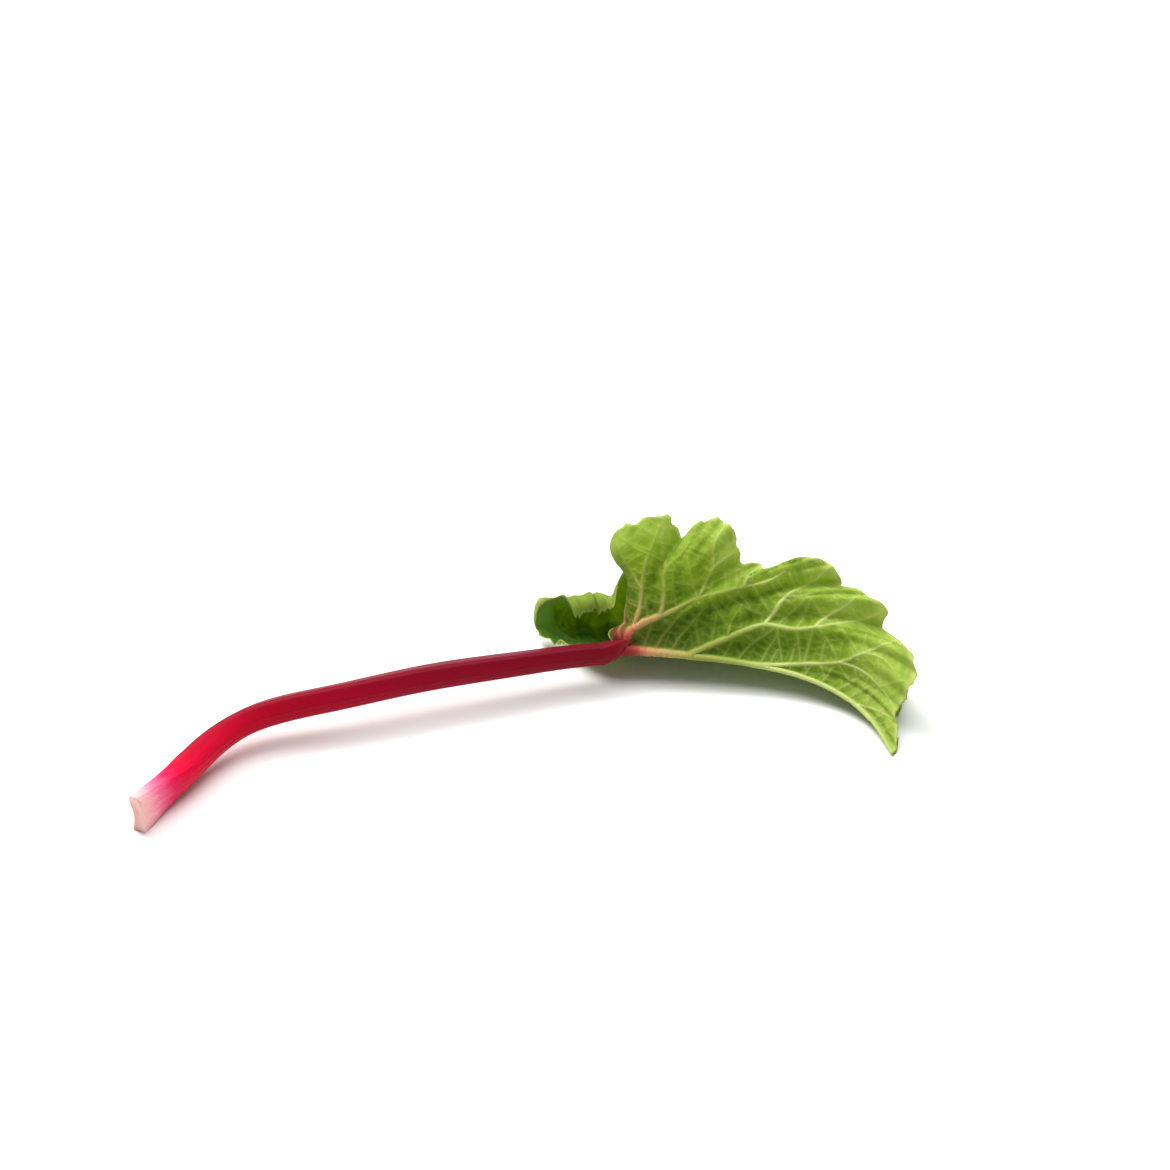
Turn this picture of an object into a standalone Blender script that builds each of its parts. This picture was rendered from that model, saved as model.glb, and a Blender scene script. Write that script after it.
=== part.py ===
"""A pulled rhubarb stalk lying on a table: the ribbed stalk, and the leaf folded along its midrib.

The model is in metres, +Z up, with the table at z = 0. Sizes below are in millimetres, and MM turns
them into metres where a mesh is made. The stalk lies along X, with its foot at -X and the leaf at +X.
The leaf's outline and veins are drawn flat, u along the midrib from where the stalk joins it and v
across it, and leaf_surface() folds that flat sheet into its resting shape.
"""

import math
import random

import bpy
import numpy as np
from mathutils.geometry import delaunay_2d_cdt

MM = 0.001
TINY = 1e-9
FAR = 1e9

# Where the stalk meets the blade, seen from above. It centres the object's box on the origin.
JUNCTION = (55.1, 32.5)

# The line down the middle of the stalk and the midrib, from the foot to the leaf's tip, with x and y
# measured from the junction and z from the table.
SPINE = [
    (-293, -151, 11.5),
    (-270, -111, 14),
    (-238, -70, 20),
    (-184, -51, 25.5),
    (-127, -33, 27.5),
    (-64, -14, 26),
    (0, 0, 24),
    (46, -3, 22),
    (88, -9, 19),
    (128, -22, 14),
    (154, -43, 8),
    (170, -79, 1.6),
]
JUNCTION_KNOT = 6
SPINE_SAMPLES = 1200
LEAF_LENGTH = 205.0

# The stalk's section at distances from the foot: half its width, its height above the middle on the
# flat, grooved side, its depth on the ribbed side, and the groove's depth.
SECTION_AT = (0, 12, 50, 100, 220, 335)
HALF_WIDTH = (15.6, 14.2, 11.6, 9.8, 9.5, 9.2)
GROOVED_HEIGHT = (4.4, 5.0, 9.3, 7.8, 7.4, 5.7)
RIBBED_DEPTH = (6.4, 7.2, 9.8, 9.6, 9.4, 8.8)
GROOVE_DEPTH = (3.0, 2.6, 1.2, 0.8, 0.8, 0.6)
# How far the grooved side is turned up from facing the back, in degrees.
TURN_AT = (0, 60, 130, 250, 335)
TURN = (0, 34, 57, 64, 62)
# How round the section is on its flanks, its grooved side and its ribbed side: 1 is an ellipse, and
# less is squarer.
FLANK_POWER = 0.85
GROOVED_POWER = 0.38
RIBBED_POWER = 0.9
STALK_SIDES = 36
STALK_RINGS = 52
RIB_HEIGHT = 0.3
END_HOLLOW = 1.5

# The stalk ends this far before the junction, and the leaf's stub starts a gap after it. The stub
# reaches this far past the junction. Along its way it thins by these shares, and turns into the
# stoutest side vein by these shares of its lift.
STUB_LENGTH = 12.0
NODE_GAP = 0.3
STUB_REACH = 7.0
STUB_SIDES = 18
STUB_RINGS = 7
STUB_AT = (0, 0.45, 1)
STUB_SHARE = (1, 0.93, 0.25)
STUB_RISE = (0, 0.3, 1)
STUB_LIFT = 7.0

# The blade.
BLADE_THICKNESS = 0.8
HUB_RADIUS = 7.0
# The upper half of the blade leans back from the midrib at these angles above level.
LEAN_AT = (0, 14, 40, 80, 130)
LEAN_AT_ROOT = (52, 58, 52, 38, 20)
LEAN_AT_TIP = (42, 48, 42, 34, 24)
PROFILE_STEPS = 441
# The lower half slopes down to the table, and its edge lifts again past this share of its reach. The
# lift starts clear of the midrib, draws the edge in, and fades between these angles at the near lobe.
SLOPE_AT_MIDRIB = 0.68
EDGE_LIFT = 8.0
LIFT_FROM = 0.68
LIFT_CLEAR = 35.0
LIFT_DRAWS_IN = 90.0
NEAR_LOBE_FROM = (126, 138)
NEAR_LOBE_LIFT = 0.3
LEAST_DROP = 0.3
# The rear lobe of the lower half rises and curls over. It has turned by these degrees at these shares
# of its reach, and more where its edge waves upwards, between these angles from the midrib.
CURL_AT = (0.4, 0.62, 0.75, 1.0)
CURL = (0, 34, 122, 250)
CURL_MORE = 1.08
CURL_WAVE = 10.0
CURL_LEVELS = 15
CURL_BETWEEN = (76, 98, 124, 134)
CURL_STRENGTH = (0, 1, 1, 0)
# The thick ends of the ribs hold the sheet this far off the table, out to this share of its reach.
RIB_ROOM = 0.9
RIB_ROOM_SHARE = 0.75
# The back of the upper half rolls inwards round this radius. The roll starts this far ahead of the
# junction at these distances from the midrib, and fades out close to it.
ROLL_RADIUS = 12.0
ROLL_AT = (20, 45, 72, 90)
ROLL_FROM = (16, 17, 7, 11)
ROLL_FADE = (5, 18)
MOST_ROLL = 2.6
LEAST_LEAN = 0.6
# How far the sheet bulges between the veins, and how far from a vein it has mostly done so.
QUILT_HEIGHT = 3.2
QUILT_WIDTH = 8.0
QUILT_EDGE = 6
WAVE_POWER = 2.4

# The blade's edge: the angle from the midrib in degrees, the reach from the junction, and how far the
# edge waves out towards the underside.
UPPER_EDGE = [
    (0, 205, 0),
    (6, 180, -3),
    (11, 183, 2),
    (15, 177, 4),
    (19.3, 156, -5),
    (23.5, 156, 4),
    (26.5, 147, 3),
    (28.5, 138, -6),
    (32.5, 138, 5),
    (35.6, 128, 8),
    (37.2, 104, 0),
    (39.8, 105, -6),
    (43.5, 96, -7),
    (48, 100, 0),
    (54, 105, 6),
    (59, 105, 7),
    (64, 99, 2),
    (68.5, 86, -9),
    (74.5, 92, 3),
    (80, 89, 4),
    (86, 84, 0),
    (96, 79, -3),
    (106, 76, 2),
    (113, 58, -3),
    (118, 40, 2),
    (123, 19, -1),
    (129, 8, 0),
    (180, HUB_RADIUS, 0),
]
LOWER_EDGE = [
    (0, 205, 0),
    (6, 178, -3),
    (13, 170, -1),
    (20, 152, -7),
    (27, 154, -1),
    (33, 134, -9),
    (41, 130, -1),
    (49, 104, -11),
    (60, 108, -1),
    (70, 90, -12),
    (81, 98, -2),
    (91, 94, -7),
    (101, 110, -1),
    (111, 108, -6),
    (119, 114, 0),
    (125, 106, -5),
    (131, 82, -2),
    (137, 68, -1),
    (140.5, 52, -2),
    (143.5, 28, -1),
    (147, 8, 0),
    (180, HUB_RADIUS, 0),
]
# Small teeth along the edge: their height, how many times each wave of them goes round the leaf, and
# the reach over which they grow from nothing at the hub.
CRINKLE = 0.3
CRINKLE_WAVES = range(40, 90, 7)
CRINKLE_SEED = 7
CRINKLE_GROWS = 60.0

# The midrib's radius at distances from the junction.
MIDRIB_AT = (0, 20, 47, 88, 165, LEAF_LENGTH)
MIDRIB_RADIUS = (3.0, 2.4, 2.0, 1.6, 1.0, 0.5)
# The veins of the upper half, flat: (u, v) points, then the radius at the start and at the end. The
# lower half has the same veins, stretched and mirrored.
SIDE_VEIN = [(2, 3), (6, 12), (24, 24), (36, 31), (47, 38), (60, 43), (73, 49), (85, 54), (94, 63)]
FORK_VEIN = [
    (44, 0),
    (58, 9),
    (68, 15),
    (79, 22),
    (90, 27),
    (105, 28),
    (117, 33),
    (130, 43),
    (139, 53),
    (145, 61),
]
UPPER_VEINS = [
    (SIDE_VEIN, 2.8, 0.45),
    (FORK_VEIN, 1.8, 0.35),
    ([(24, 24), (25, 40), (25, 54), (31, 62), (37, 73)], 1.2, 0.3),
    ([(25, 54), (23, 66), (22, 77), (22, 87)], 0.8, 0.25),
    ([(7, 12), (11, 26), (12, 40), (13, 54), (17, 70), (20, 82)], 1.4, 0.3),
    ([(12, 40), (4, 54), (-3, 70)], 0.8, 0.3),
    ([(1, 4), (-2, 18), (-7, 38), (-13, 56)], 1.3, 0.3),
    ([(47, 38), (50, 49), (54, 59), (60, 66), (67, 73)], 1.1, 0.3),
    ([(54, 59), (52, 69), (55, 80), (60, 90)], 0.7, 0.25),
    ([(89, 27), (93, 37), (98, 48), (104, 56), (111, 66), (117, 76)], 1.1, 0.3),
    ([(117, 33), (122, 45), (128, 54), (132, 66)], 0.8, 0.3),
    ([(84, 0), (97, 2), (119, 9), (136, 18), (145, 29), (152, 40), (157, 51)], 1.3, 0.35),
    ([(136, 18), (147, 20), (161, 19), (175, 16)], 0.8, 0.3),
]
# How fast the veins thin out along their way, and the stoutest side vein.
VEIN_TAPER = 1.6
SIDE_VEIN_TAPER = 2.6
LOWER_STRETCH = (0.97, -1.04)
# A rib's height and the half of its width, as shares of the vein's radius.
RIB_RISE = 1.15
RIB_SPREAD = 1.2

# Spacing of the blade's points along its edge, along its veins, across its curl and across its open
# parts, and how near a point may come to one that is already there. The edge is first worked out at
# turns of so many degrees.
EDGE_STEP = 3.6
EDGE_TURN = 0.25
VEIN_STEP = 5.0
CURL_STEP = 3.4
FIELD_STEP = 6.0
CREASE_CLEARANCE = 1.0
VEIN_CLEARANCE = 1.5
CURL_CLEARANCE = 2.0
FIELD_CLEARANCE = 3.2
LEAST_FLANKED_RADIUS = 0.6
MESH_EPSILON = 1e-4
MOST_SHARE = 1.05

STALK_COLOUR = (0.42, 0.015, 0.04)
STALK_ROUGHNESS = 0.36
LEAF_COLOUR = (0.2, 0.33, 0.05)
LEAF_ROUGHNESS = 0.5


def unit(vectors):
    """The vectors at length 1."""
    return vectors / np.linalg.norm(vectors, axis=-1, keepdims=True)


def eased(at, values, x):
    """The values at x, level at each of the given places and smooth between them."""
    at = np.asarray(at, float)
    values = np.asarray(values, float)
    x = np.clip(x, at[0], at[-1])
    i = np.clip(np.searchsorted(at, x, side="right") - 1, 0, len(at) - 2)
    t = (x - at[i]) / (at[i + 1] - at[i])
    return values[i] + (values[i + 1] - values[i]) * t * t * (3 - 2 * t)


class Spine:
    """A smooth curve through points, read by its length along it."""

    def __init__(self, points):
        points = np.array(points, float)
        steps = np.linalg.norm(np.diff(points, axis=0), axis=1)
        knots = np.concatenate([[0.0], np.cumsum(steps)])
        bend = self.bends(points, steps)
        t = np.linspace(0, knots[-1], SPINE_SAMPLES)
        i = np.clip(np.searchsorted(knots, t, side="right") - 1, 0, len(steps) - 1)
        step = steps[i][:, None]
        before = (knots[i + 1] - t)[:, None] / step
        after = 1 - before
        self.points = before * points[i] + after * points[i + 1]
        self.points += (before**3 - before) * bend[i] * step**2 / 6
        self.points += (after**3 - after) * bend[i + 1] * step**2 / 6
        moves = np.linalg.norm(np.diff(self.points, axis=0), axis=1)
        self.lengths = np.concatenate([[0.0], np.cumsum(moves)])
        self.headings = unit(np.gradient(self.points, self.lengths, axis=0))
        self.length_at_knots = np.interp(knots, t, self.lengths)

    @staticmethod
    def bends(points, steps):
        """Second derivatives of the natural cubic spline at its points."""
        matrix = np.eye(len(points))
        target = np.zeros_like(points)
        for i in range(1, len(points) - 1):
            matrix[i, i - 1 : i + 2] = steps[i - 1], 2 * (steps[i - 1] + steps[i]), steps[i]
            ahead = (points[i + 1] - points[i]) / steps[i]
            behind = (points[i] - points[i - 1]) / steps[i - 1]
            target[i] = 6 * (ahead - behind)
        return np.linalg.solve(matrix, target)

    def place(self, length):
        columns = [np.interp(length, self.lengths, column) for column in self.points.T]
        return np.stack(columns, -1)

    def heading(self, length):
        columns = [np.interp(length, self.lengths, column) for column in self.headings.T]
        return unit(np.stack(columns, -1))


SPINE_CURVE = Spine(SPINE)
JUNCTION_LENGTH = SPINE_CURVE.length_at_knots[JUNCTION_KNOT]


def frame_at(length):
    """Place, heading, and the level and upright directions across the spine."""
    heading = SPINE_CURVE.heading(length)
    back = unit(np.cross([0.0, 0.0, 1.0], heading))
    return SPINE_CURVE.place(length), heading, back, np.cross(heading, back)


# ---------------------------------------------------------------- the stalk


def section(length, sides, ribbed=True):
    """The stalk's outline across the spine, as places in space."""
    place, _, back, upright = frame_at(length)
    turn = math.radians(eased(TURN_AT, TURN, length))
    grooved = math.cos(turn) * back + math.sin(turn) * upright
    across = math.cos(turn) * upright - math.sin(turn) * back
    half_width = eased(SECTION_AT, HALF_WIDTH, length)
    height = eased(SECTION_AT, GROOVED_HEIGHT, length)
    depth = eased(SECTION_AT, RIBBED_DEPTH, length)
    groove = eased(SECTION_AT, GROOVE_DEPTH, length)
    rows = []
    for k in range(sides):
        angle = math.tau * k / sides
        cosine, sine = math.cos(angle), math.sin(angle)
        x = half_width * math.copysign(abs(cosine) ** FLANK_POWER, cosine)
        if sine > 0:
            y = height * sine**GROOVED_POWER - groove * (1 - (x / half_width) ** 2) ** 2
        else:
            y = -depth * abs(sine) ** RIBBED_POWER
            rib = RIB_HEIGHT * (-1) ** k if ribbed else 0.0
            x += rib * cosine
            y += rib * sine
        rows.append(place + x * across + y * grooved)
    return np.array(rows)


def loft(rings):
    """Vertices and triangles of a tube through the rings, closed by a fan at each end."""
    sides = len(rings[0])
    vertices = np.concatenate(rings + [rings[0].mean(0)[None], rings[-1].mean(0)[None]])
    first, last = len(vertices) - 2, len(vertices) - 1
    faces = []
    for r in range(len(rings) - 1):
        for k in range(sides):
            a, b = r * sides + k, r * sides + (k + 1) % sides
            faces += [(a, b + sides, b), (a, a + sides, b + sides)]
    top = (len(rings) - 1) * sides
    for k in range(sides):
        faces.append((first, k, (k + 1) % sides))
        faces.append((last, top + (k + 1) % sides, top + k))
    return vertices, faces, first


def make_stalk():
    lengths = np.linspace(0, JUNCTION_LENGTH - STUB_LENGTH - NODE_GAP, STALK_RINGS)
    rings = [section(length, STALK_SIDES) for length in lengths]
    vertices, faces, first = loft(rings)
    vertices[first] += SPINE_CURVE.heading(0.0) * END_HOLLOW
    vertices[:, 2] = np.maximum(vertices[:, 2], 0)
    return solid("stalk", vertices, faces, STALK_COLOUR, STALK_ROUGHNESS)


# ---------------------------------------------------------------- the flat leaf


def edge_at(angle, upper):
    """Reach and wave of the blade's edge at an angle from the midrib, in degrees."""
    table = np.array(UPPER_EDGE if upper else LOWER_EDGE, float)
    return eased(table[:, 0], table[:, 1], angle), eased(table[:, 0], table[:, 2], angle)


def reach_of(points):
    """The blade's reach in the direction of each flat point."""
    angle = np.degrees(np.arctan2(np.abs(points[:, 1]), points[:, 0]))
    return np.where(points[:, 1] >= 0, edge_at(angle, True)[0], edge_at(angle, False)[0])


def blade_outline():
    """The blade's edge as evenly spaced flat points, anticlockwise from behind the junction."""
    angles = np.radians(np.arange(-180, 180, EDGE_TURN))
    directions = np.stack([np.cos(angles), np.sin(angles)], 1)
    reach = reach_of(directions)
    draw = random.Random(CRINKLE_SEED)
    height = CRINKLE * np.clip((reach - HUB_RADIUS) / CRINKLE_GROWS, 0, 1)
    for waves in CRINKLE_WAVES:
        reach = reach + height * np.cos(waves * angles + draw.uniform(0, math.tau))
    points = directions * reach[:, None]
    closed = np.concatenate([points, points[:1]])
    lengths = np.concatenate([[0], np.cumsum(np.linalg.norm(np.diff(closed, axis=0), axis=1))])
    at = np.linspace(0, lengths[-1], int(lengths[-1] / EDGE_STEP), endpoint=False)
    outline = np.stack([np.interp(at, lengths, column) for column in closed.T], 1)
    outline[np.argmax(outline[:, 0])] = LEAF_LENGTH, 0
    outline[0] = -HUB_RADIUS, 0
    return outline


def vein_lines():
    """Every vein as (flat points, radius at each), stepped evenly, with the midrib first."""
    u = np.linspace(0, LEAF_LENGTH, 2 + int(LEAF_LENGTH / VEIN_STEP))
    radius = np.interp(u, MIDRIB_AT, MIDRIB_RADIUS)
    lines = [(np.stack([u, 0 * u], 1), radius)]
    for stretch in ((1.0, 1.0), LOWER_STRETCH):
        for points, start, end in UPPER_VEINS:
            taper = SIDE_VEIN_TAPER if points is SIDE_VEIN else VEIN_TAPER
            lines.append(stepped(np.array(points, float) * stretch, start, end, taper))
    return lines


def stepped(points, start, end, taper):
    """A smooth line through flat points at even steps, with its radius along it."""
    curve = Spine(points)
    at = np.linspace(0, curve.lengths[-1], 2 + int(curve.lengths[-1] / VEIN_STEP))
    return curve.place(at), end + (start - end) * (1 - at / at[-1]) ** taper


def vein_fields(points, lines):
    """For each flat point, the distance to the nearest vein and the height of the ribs there."""
    nearest = np.full(len(points), FAR)
    height = np.zeros(len(points))
    for line, radius in lines:
        for a, b, ra, rb in zip(line[:-1], line[1:], radius[:-1], radius[1:]):
            run = b - a
            t = np.clip((points - a) @ run / (run @ run), 0, 1)
            distance = np.linalg.norm(points - a - t[:, None] * run, axis=1)
            nearest = np.minimum(nearest, distance)
            r = ra + (rb - ra) * t
            rise = RIB_RISE * r * np.sqrt(np.clip(1 - (distance / (RIB_SPREAD * r)) ** 2, 0, 1))
            height = np.maximum(height, rise)
    return nearest, height


def spaced(points, kept, clearance):
    """Adds to kept, in order, the points that lie clear of those already there."""
    for point in points:
        if not len(kept) or np.min(np.sum((np.array(kept) - point) ** 2, 1)) > clearance**2:
            kept.append(point)
    return kept


def inside(points, outline):
    """Which flat points lie inside the outline."""
    a, b = outline, np.roll(outline, -1, 0)
    x, y = points[:, :1], points[:, 1:]
    crossing = (a[:, 1] > y) != (b[:, 1] > y)
    with np.errstate(divide="ignore", invalid="ignore"):
        at = a[:, 0] + (y - a[:, 1]) * (b[:, 0] - a[:, 0]) / (b[:, 1] - a[:, 1])
    return (crossing & (x < at)).sum(1) % 2 == 1


def grid(outline, step):
    """A staggered grid of points inside the outline."""
    low, high = outline.min(0), outline.max(0)
    rows = []
    for i, v in enumerate(np.arange(low[1], high[1], step * math.sqrt(0.75))):
        u = np.arange(low[0] + step / 2 * (i % 2), high[0], step)
        rows.append(np.stack([u, np.full(len(u), v)], 1))
    points = np.concatenate(rows)
    return points[inside(points, outline)]


def curl_points(outline):
    """A closer grid where the rear lobe curls."""
    points = grid(outline, CURL_STEP)
    angle = np.degrees(np.arctan2(-points[:, 1], points[:, 0]))
    share = np.linalg.norm(points, axis=1) / reach_of(points)
    return points[(angle > CURL_BETWEEN[0]) & (share > CURL_AT[1])]


def beside(line, radius):
    """Points along both feet of a vein's rib."""
    side = np.gradient(line, axis=0)
    side = unit(np.stack([-side[:, 1], side[:, 0]], 1)) * radius[:, None] * RIB_SPREAD
    stout = radius > LEAST_FLANKED_RADIUS
    return np.concatenate([(line + side)[stout], (line - side)[stout]])


def flat_mesh():
    """The flat blade as points and triangles, with lines of points along its edge and veins."""
    outline = blade_outline()
    lines = vein_lines()
    midrib = lines[0][0]
    kept = [tuple(point) for point in outline]
    count = len(kept)
    start = [(-HUB_RADIUS / 2, 0.0), (0.0, 0.0)]
    kept = spaced(start + list(midrib[1:-1]), kept, CREASE_CLEARANCE)
    crease = [0] + list(range(count, len(kept))) + [int(np.argmax(outline[:, 0]))]
    for line, _ in lines[1:]:
        kept = spaced(line[inside(line, outline)], kept, VEIN_CLEARANCE)
    for line, radius in lines:
        flanks = beside(line, radius)
        kept = spaced(flanks[inside(flanks, outline)], kept, VEIN_CLEARANCE)
    kept = spaced(curl_points(outline), kept, CURL_CLEARANCE)
    kept = spaced(grid(outline, FIELD_STEP), kept, FIELD_CLEARANCE)
    edges = list(zip(crease[:-1], crease[1:]))
    places = [tuple(map(float, point)) for point in kept]
    result = delaunay_2d_cdt(places, edges, [list(range(count))], 1, MESH_EPSILON)
    points = np.array([tuple(point) for point in result[0]])
    faces = np.array([face for face in result[2]])
    a, b, c = (points[faces[:, k]] for k in range(3))
    turned = (b - a)[:, 0] * (c - a)[:, 1] - (b - a)[:, 1] * (c - a)[:, 0] < 0
    faces[turned] = faces[turned][:, ::-1]
    return points, faces, lines


# ---------------------------------------------------------------- the folded leaf


def lean_profile(angles, distance):
    """How far back and up the upper half has come at a distance from the midrib."""
    at = np.linspace(0, LEAN_AT[-1], PROFILE_STEPS)
    lean = np.radians(eased(LEAN_AT, angles, at))
    step = at[1] - at[0]
    back = np.concatenate([[0], np.cumsum((np.cos(lean[1:]) + np.cos(lean[:-1])) * step / 2)])
    up = np.concatenate([[0], np.cumsum((np.sin(lean[1:]) + np.sin(lean[:-1])) * step / 2)])
    return np.interp(distance, at, back), np.interp(distance, at, up), np.interp(distance, at, lean)


def upper_profile(u, distance):
    """Back, up and lean of the upper half."""
    t = eased((0, LEAF_LENGTH), (0, 1), u)
    root = lean_profile(LEAN_AT_ROOT, distance)
    tip = lean_profile(LEAN_AT_TIP, distance)
    return [(1 - t) * a + t * b for a, b in zip(root, tip)]


def lower_profile(height, distance, share, angle):
    """Back, up and slope of the lower half, which lands on the table and lifts at its edge."""
    landing = BLADE_THICKNESS / 2 + RIB_ROOM * np.clip(1 - share / RIB_ROOM_SHARE, 0, 1) ** 2
    drop = np.maximum(height - landing, LEAST_DROP)
    run = 2 * drop / SLOPE_AT_MIDRIB
    t = np.clip(distance / run, 0, 1)
    down = drop * (1 - (1 - t) ** 2)
    lift = EDGE_LIFT * np.clip((share - LIFT_FROM) / (1 - LIFT_FROM), 0, None) ** 2
    lift = lift * eased((0, LIFT_CLEAR), (0, 1), distance)
    lift = lift * eased(NEAR_LOBE_FROM, (1, NEAR_LOBE_LIFT), angle)
    slope = SLOPE_AT_MIDRIB * (1 - t)
    shortened = run * (t - SLOPE_AT_MIDRIB**2 * (1 - (1 - t) ** 3) / 6)
    back = shortened + np.maximum(distance - run, 0) - lift**2 / LIFT_DRAWS_IN
    return back, lift - down, -np.arcsin(slope)


def read_table(table, row, column):
    """The table's values between its rows and columns."""
    i = np.clip(row.astype(int), 0, table.shape[0] - 2)
    j = np.clip(column.astype(int), 0, table.shape[1] - 2)
    down, right = row - i, column - j
    above = table[i, j] * (1 - right) + table[i, j + 1] * right
    below = table[i + 1, j] * (1 - right) + table[i + 1, j + 1] * right
    return above * (1 - down) + below * down


def curl_profile(share, angle, wave):
    """How far the rear lobe's curl moves each point outwards and up, as shares of its reach."""
    at = np.linspace(0, MOST_SHARE, PROFILE_STEPS)
    step = at[1]
    strengths = np.linspace(0, CURL_MORE, CURL_LEVELS)
    bends = np.radians(eased(CURL_AT, CURL, at)) * strengths[:, None]
    outwards = np.cumsum(np.cos(bends), 1) * step - at
    up = np.cumsum(np.sin(bends), 1) * step
    waved = 1 + (CURL_MORE - 1) * np.clip(-wave / CURL_WAVE, 0, 1)
    row = eased(CURL_BETWEEN, CURL_STRENGTH, angle) * waved / strengths[1]
    return read_table(outwards, row, share / step), read_table(up, row, share / step)


def leaf_surface(points, quilt):
    """Places in space of the flat points (u, v), with the quilting between the veins."""
    u, v = points[:, 0], points[:, 1]
    upper = v >= 0
    distance = np.abs(v)
    angle = np.degrees(np.arctan2(distance, u))
    up_reach, up_wave = edge_at(angle, True)
    low_reach, low_wave = edge_at(angle, False)
    share = np.clip(np.hypot(u, v) / np.where(upper, up_reach, low_reach), 0, MOST_SHARE)
    wave = np.where(upper, up_wave, low_wave) * share**WAVE_POWER

    # The back of the upper half rolls inwards, and that of the lower half runs straight on.
    rolled = upper * eased(ROLL_FADE, (0, 1), distance)
    roll_from = rolled * eased(ROLL_AT, ROLL_FROM, distance)
    rolled_length = np.maximum(roll_from - u, 0)
    roll = np.minimum(rolled_length / ROLL_RADIUS * rolled, MOST_ROLL) + TINY
    along = np.where(rolled_length > 0, roll_from - rolled_length * np.sin(roll) / roll, u)
    inward = rolled_length * (1 - np.cos(roll)) / roll

    place, heading, back, upright = frame_at(JUNCTION_LENGTH + np.maximum(along, 0))
    place = place + np.minimum(along, 0)[:, None] * heading
    up_back, up_up, lean = upper_profile(u, distance)
    low_back, low_up, slope = lower_profile(place[:, 2], distance, share, angle)
    curl_out, curl_up = curl_profile(share, angle, low_wave)
    curl_out, curl_up = curl_out * low_reach, curl_up * low_reach
    swung = np.where(upper, 0, curl_out * np.cos(np.radians(angle)))
    place = place + swung[:, None] * heading
    low_back = low_back + curl_out * np.sin(np.radians(angle))
    low_up = low_up + curl_up

    # The underside faces up and forward on the upper half, and down on the lower half.
    out_back = np.where(upper, -np.sin(lean), np.sin(slope))
    out_up = np.where(upper, np.cos(lean), -np.cos(slope))
    push = wave - quilt - inward
    across = np.where(upper, up_back, low_back) + out_back * push
    height = np.where(upper, up_up, low_up) + out_up * push
    surface = place + across[:, None] * back + height[:, None] * upright
    surface[:, 2] = np.maximum(surface[:, 2], BLADE_THICKNESS / 2)
    return surface


def offset_directions(points, faces):
    """Normals at the points, lengthened where the sheet creases so that its thickness holds there."""
    corners = points[faces]
    normals = unit(np.cross(corners[:, 1] - corners[:, 0], corners[:, 2] - corners[:, 0]))
    total = np.zeros_like(points)
    angles = np.zeros((len(faces), 3))
    for k in range(3):
        ahead = unit(corners[:, (k + 1) % 3] - corners[:, k])
        behind = unit(corners[:, (k + 2) % 3] - corners[:, k])
        angles[:, k] = np.arccos(np.clip(np.sum(ahead * behind, 1), -1, 1))
        np.add.at(total, faces[:, k], normals * angles[:, k, None])
    mean = unit(total)
    lean = np.zeros(len(points))
    weight = np.zeros(len(points))
    for k in range(3):
        np.add.at(lean, faces[:, k], np.sum(mean[faces[:, k]] * normals, 1) * angles[:, k])
        np.add.at(weight, faces[:, k], angles[:, k])
    return mean / np.clip(lean / weight, LEAST_LEAN, 1)[:, None]


def make_blade():
    """The blade with its ribs raised on the underside, as one closed sheet."""
    points, faces, lines = flat_mesh()
    nearest, ribs = vein_fields(points, lines)
    share = np.clip(np.linalg.norm(points, axis=1) / reach_of(points), 0, 1)
    quilt = QUILT_HEIGHT * (1 - np.exp(-((nearest / QUILT_WIDTH) ** 2))) * (1 - share**QUILT_EDGE)
    middle = leaf_surface(points, quilt)
    outward = offset_directions(middle, faces)
    under = middle + outward * BLADE_THICKNESS / 2 + unit(outward) * ribs[:, None]
    over = middle - outward * BLADE_THICKNESS / 2
    under[:, 2] = np.maximum(under[:, 2], 0)
    over[:, 2] = np.maximum(over[:, 2], BLADE_THICKNESS)
    count = len(points)
    vertices = np.concatenate([under, over])
    triangles = [tuple(f) for f in faces] + [tuple(f[::-1] + count) for f in faces]
    sides = {}
    for f in faces:
        for a, b in ((f[0], f[1]), (f[1], f[2]), (f[2], f[0])):
            sides[(a, b)] = True
    for a, b in sides:
        if (b, a) not in sides:
            triangles += [(b, a, a + count), (b, a + count, b + count)]
    return vertices, triangles


def make_stub():
    """The short thick root of the veins, which takes up the stalk's section."""
    start = JUNCTION_LENGTH - STUB_LENGTH
    first_place, _, first_back, first_upright = frame_at(start)
    first = section(start, STUB_SIDES, ribbed=False) - first_place
    lean = math.radians(LEAN_AT_ROOT[0])
    rings = []
    for t in np.linspace(0, 1, STUB_RINGS):
        place, _, back, upright = frame_at(start + t * (STUB_LENGTH + STUB_REACH))
        turned = np.outer(first @ first_back, back) + np.outer(first @ first_upright, upright)
        aside = math.cos(lean) * back + math.sin(lean) * upright
        lifted = place + aside * STUB_LIFT * eased(STUB_AT, STUB_RISE, t)
        rings.append(lifted + turned * eased(STUB_AT, STUB_SHARE, t))
    vertices, faces, _ = loft(rings)
    return vertices, faces


def make_leaf():
    leaf = solid("leaf", *make_blade(), LEAF_COLOUR, LEAF_ROUGHNESS)
    stub = solid("leaf_stub", *make_stub(), LEAF_COLOUR, LEAF_ROUGHNESS)
    join(leaf, stub)
    return leaf


# ---------------------------------------------------------------- Blender objects


def material(name, colour, roughness):
    made = bpy.data.materials.new(name)
    made.use_nodes = True
    shader = made.node_tree.nodes["Principled BSDF"]
    shader.inputs["Base Color"].default_value = (*colour, 1)
    shader.inputs["Roughness"].default_value = roughness
    shader.inputs["Metallic"].default_value = 0
    return made


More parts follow.
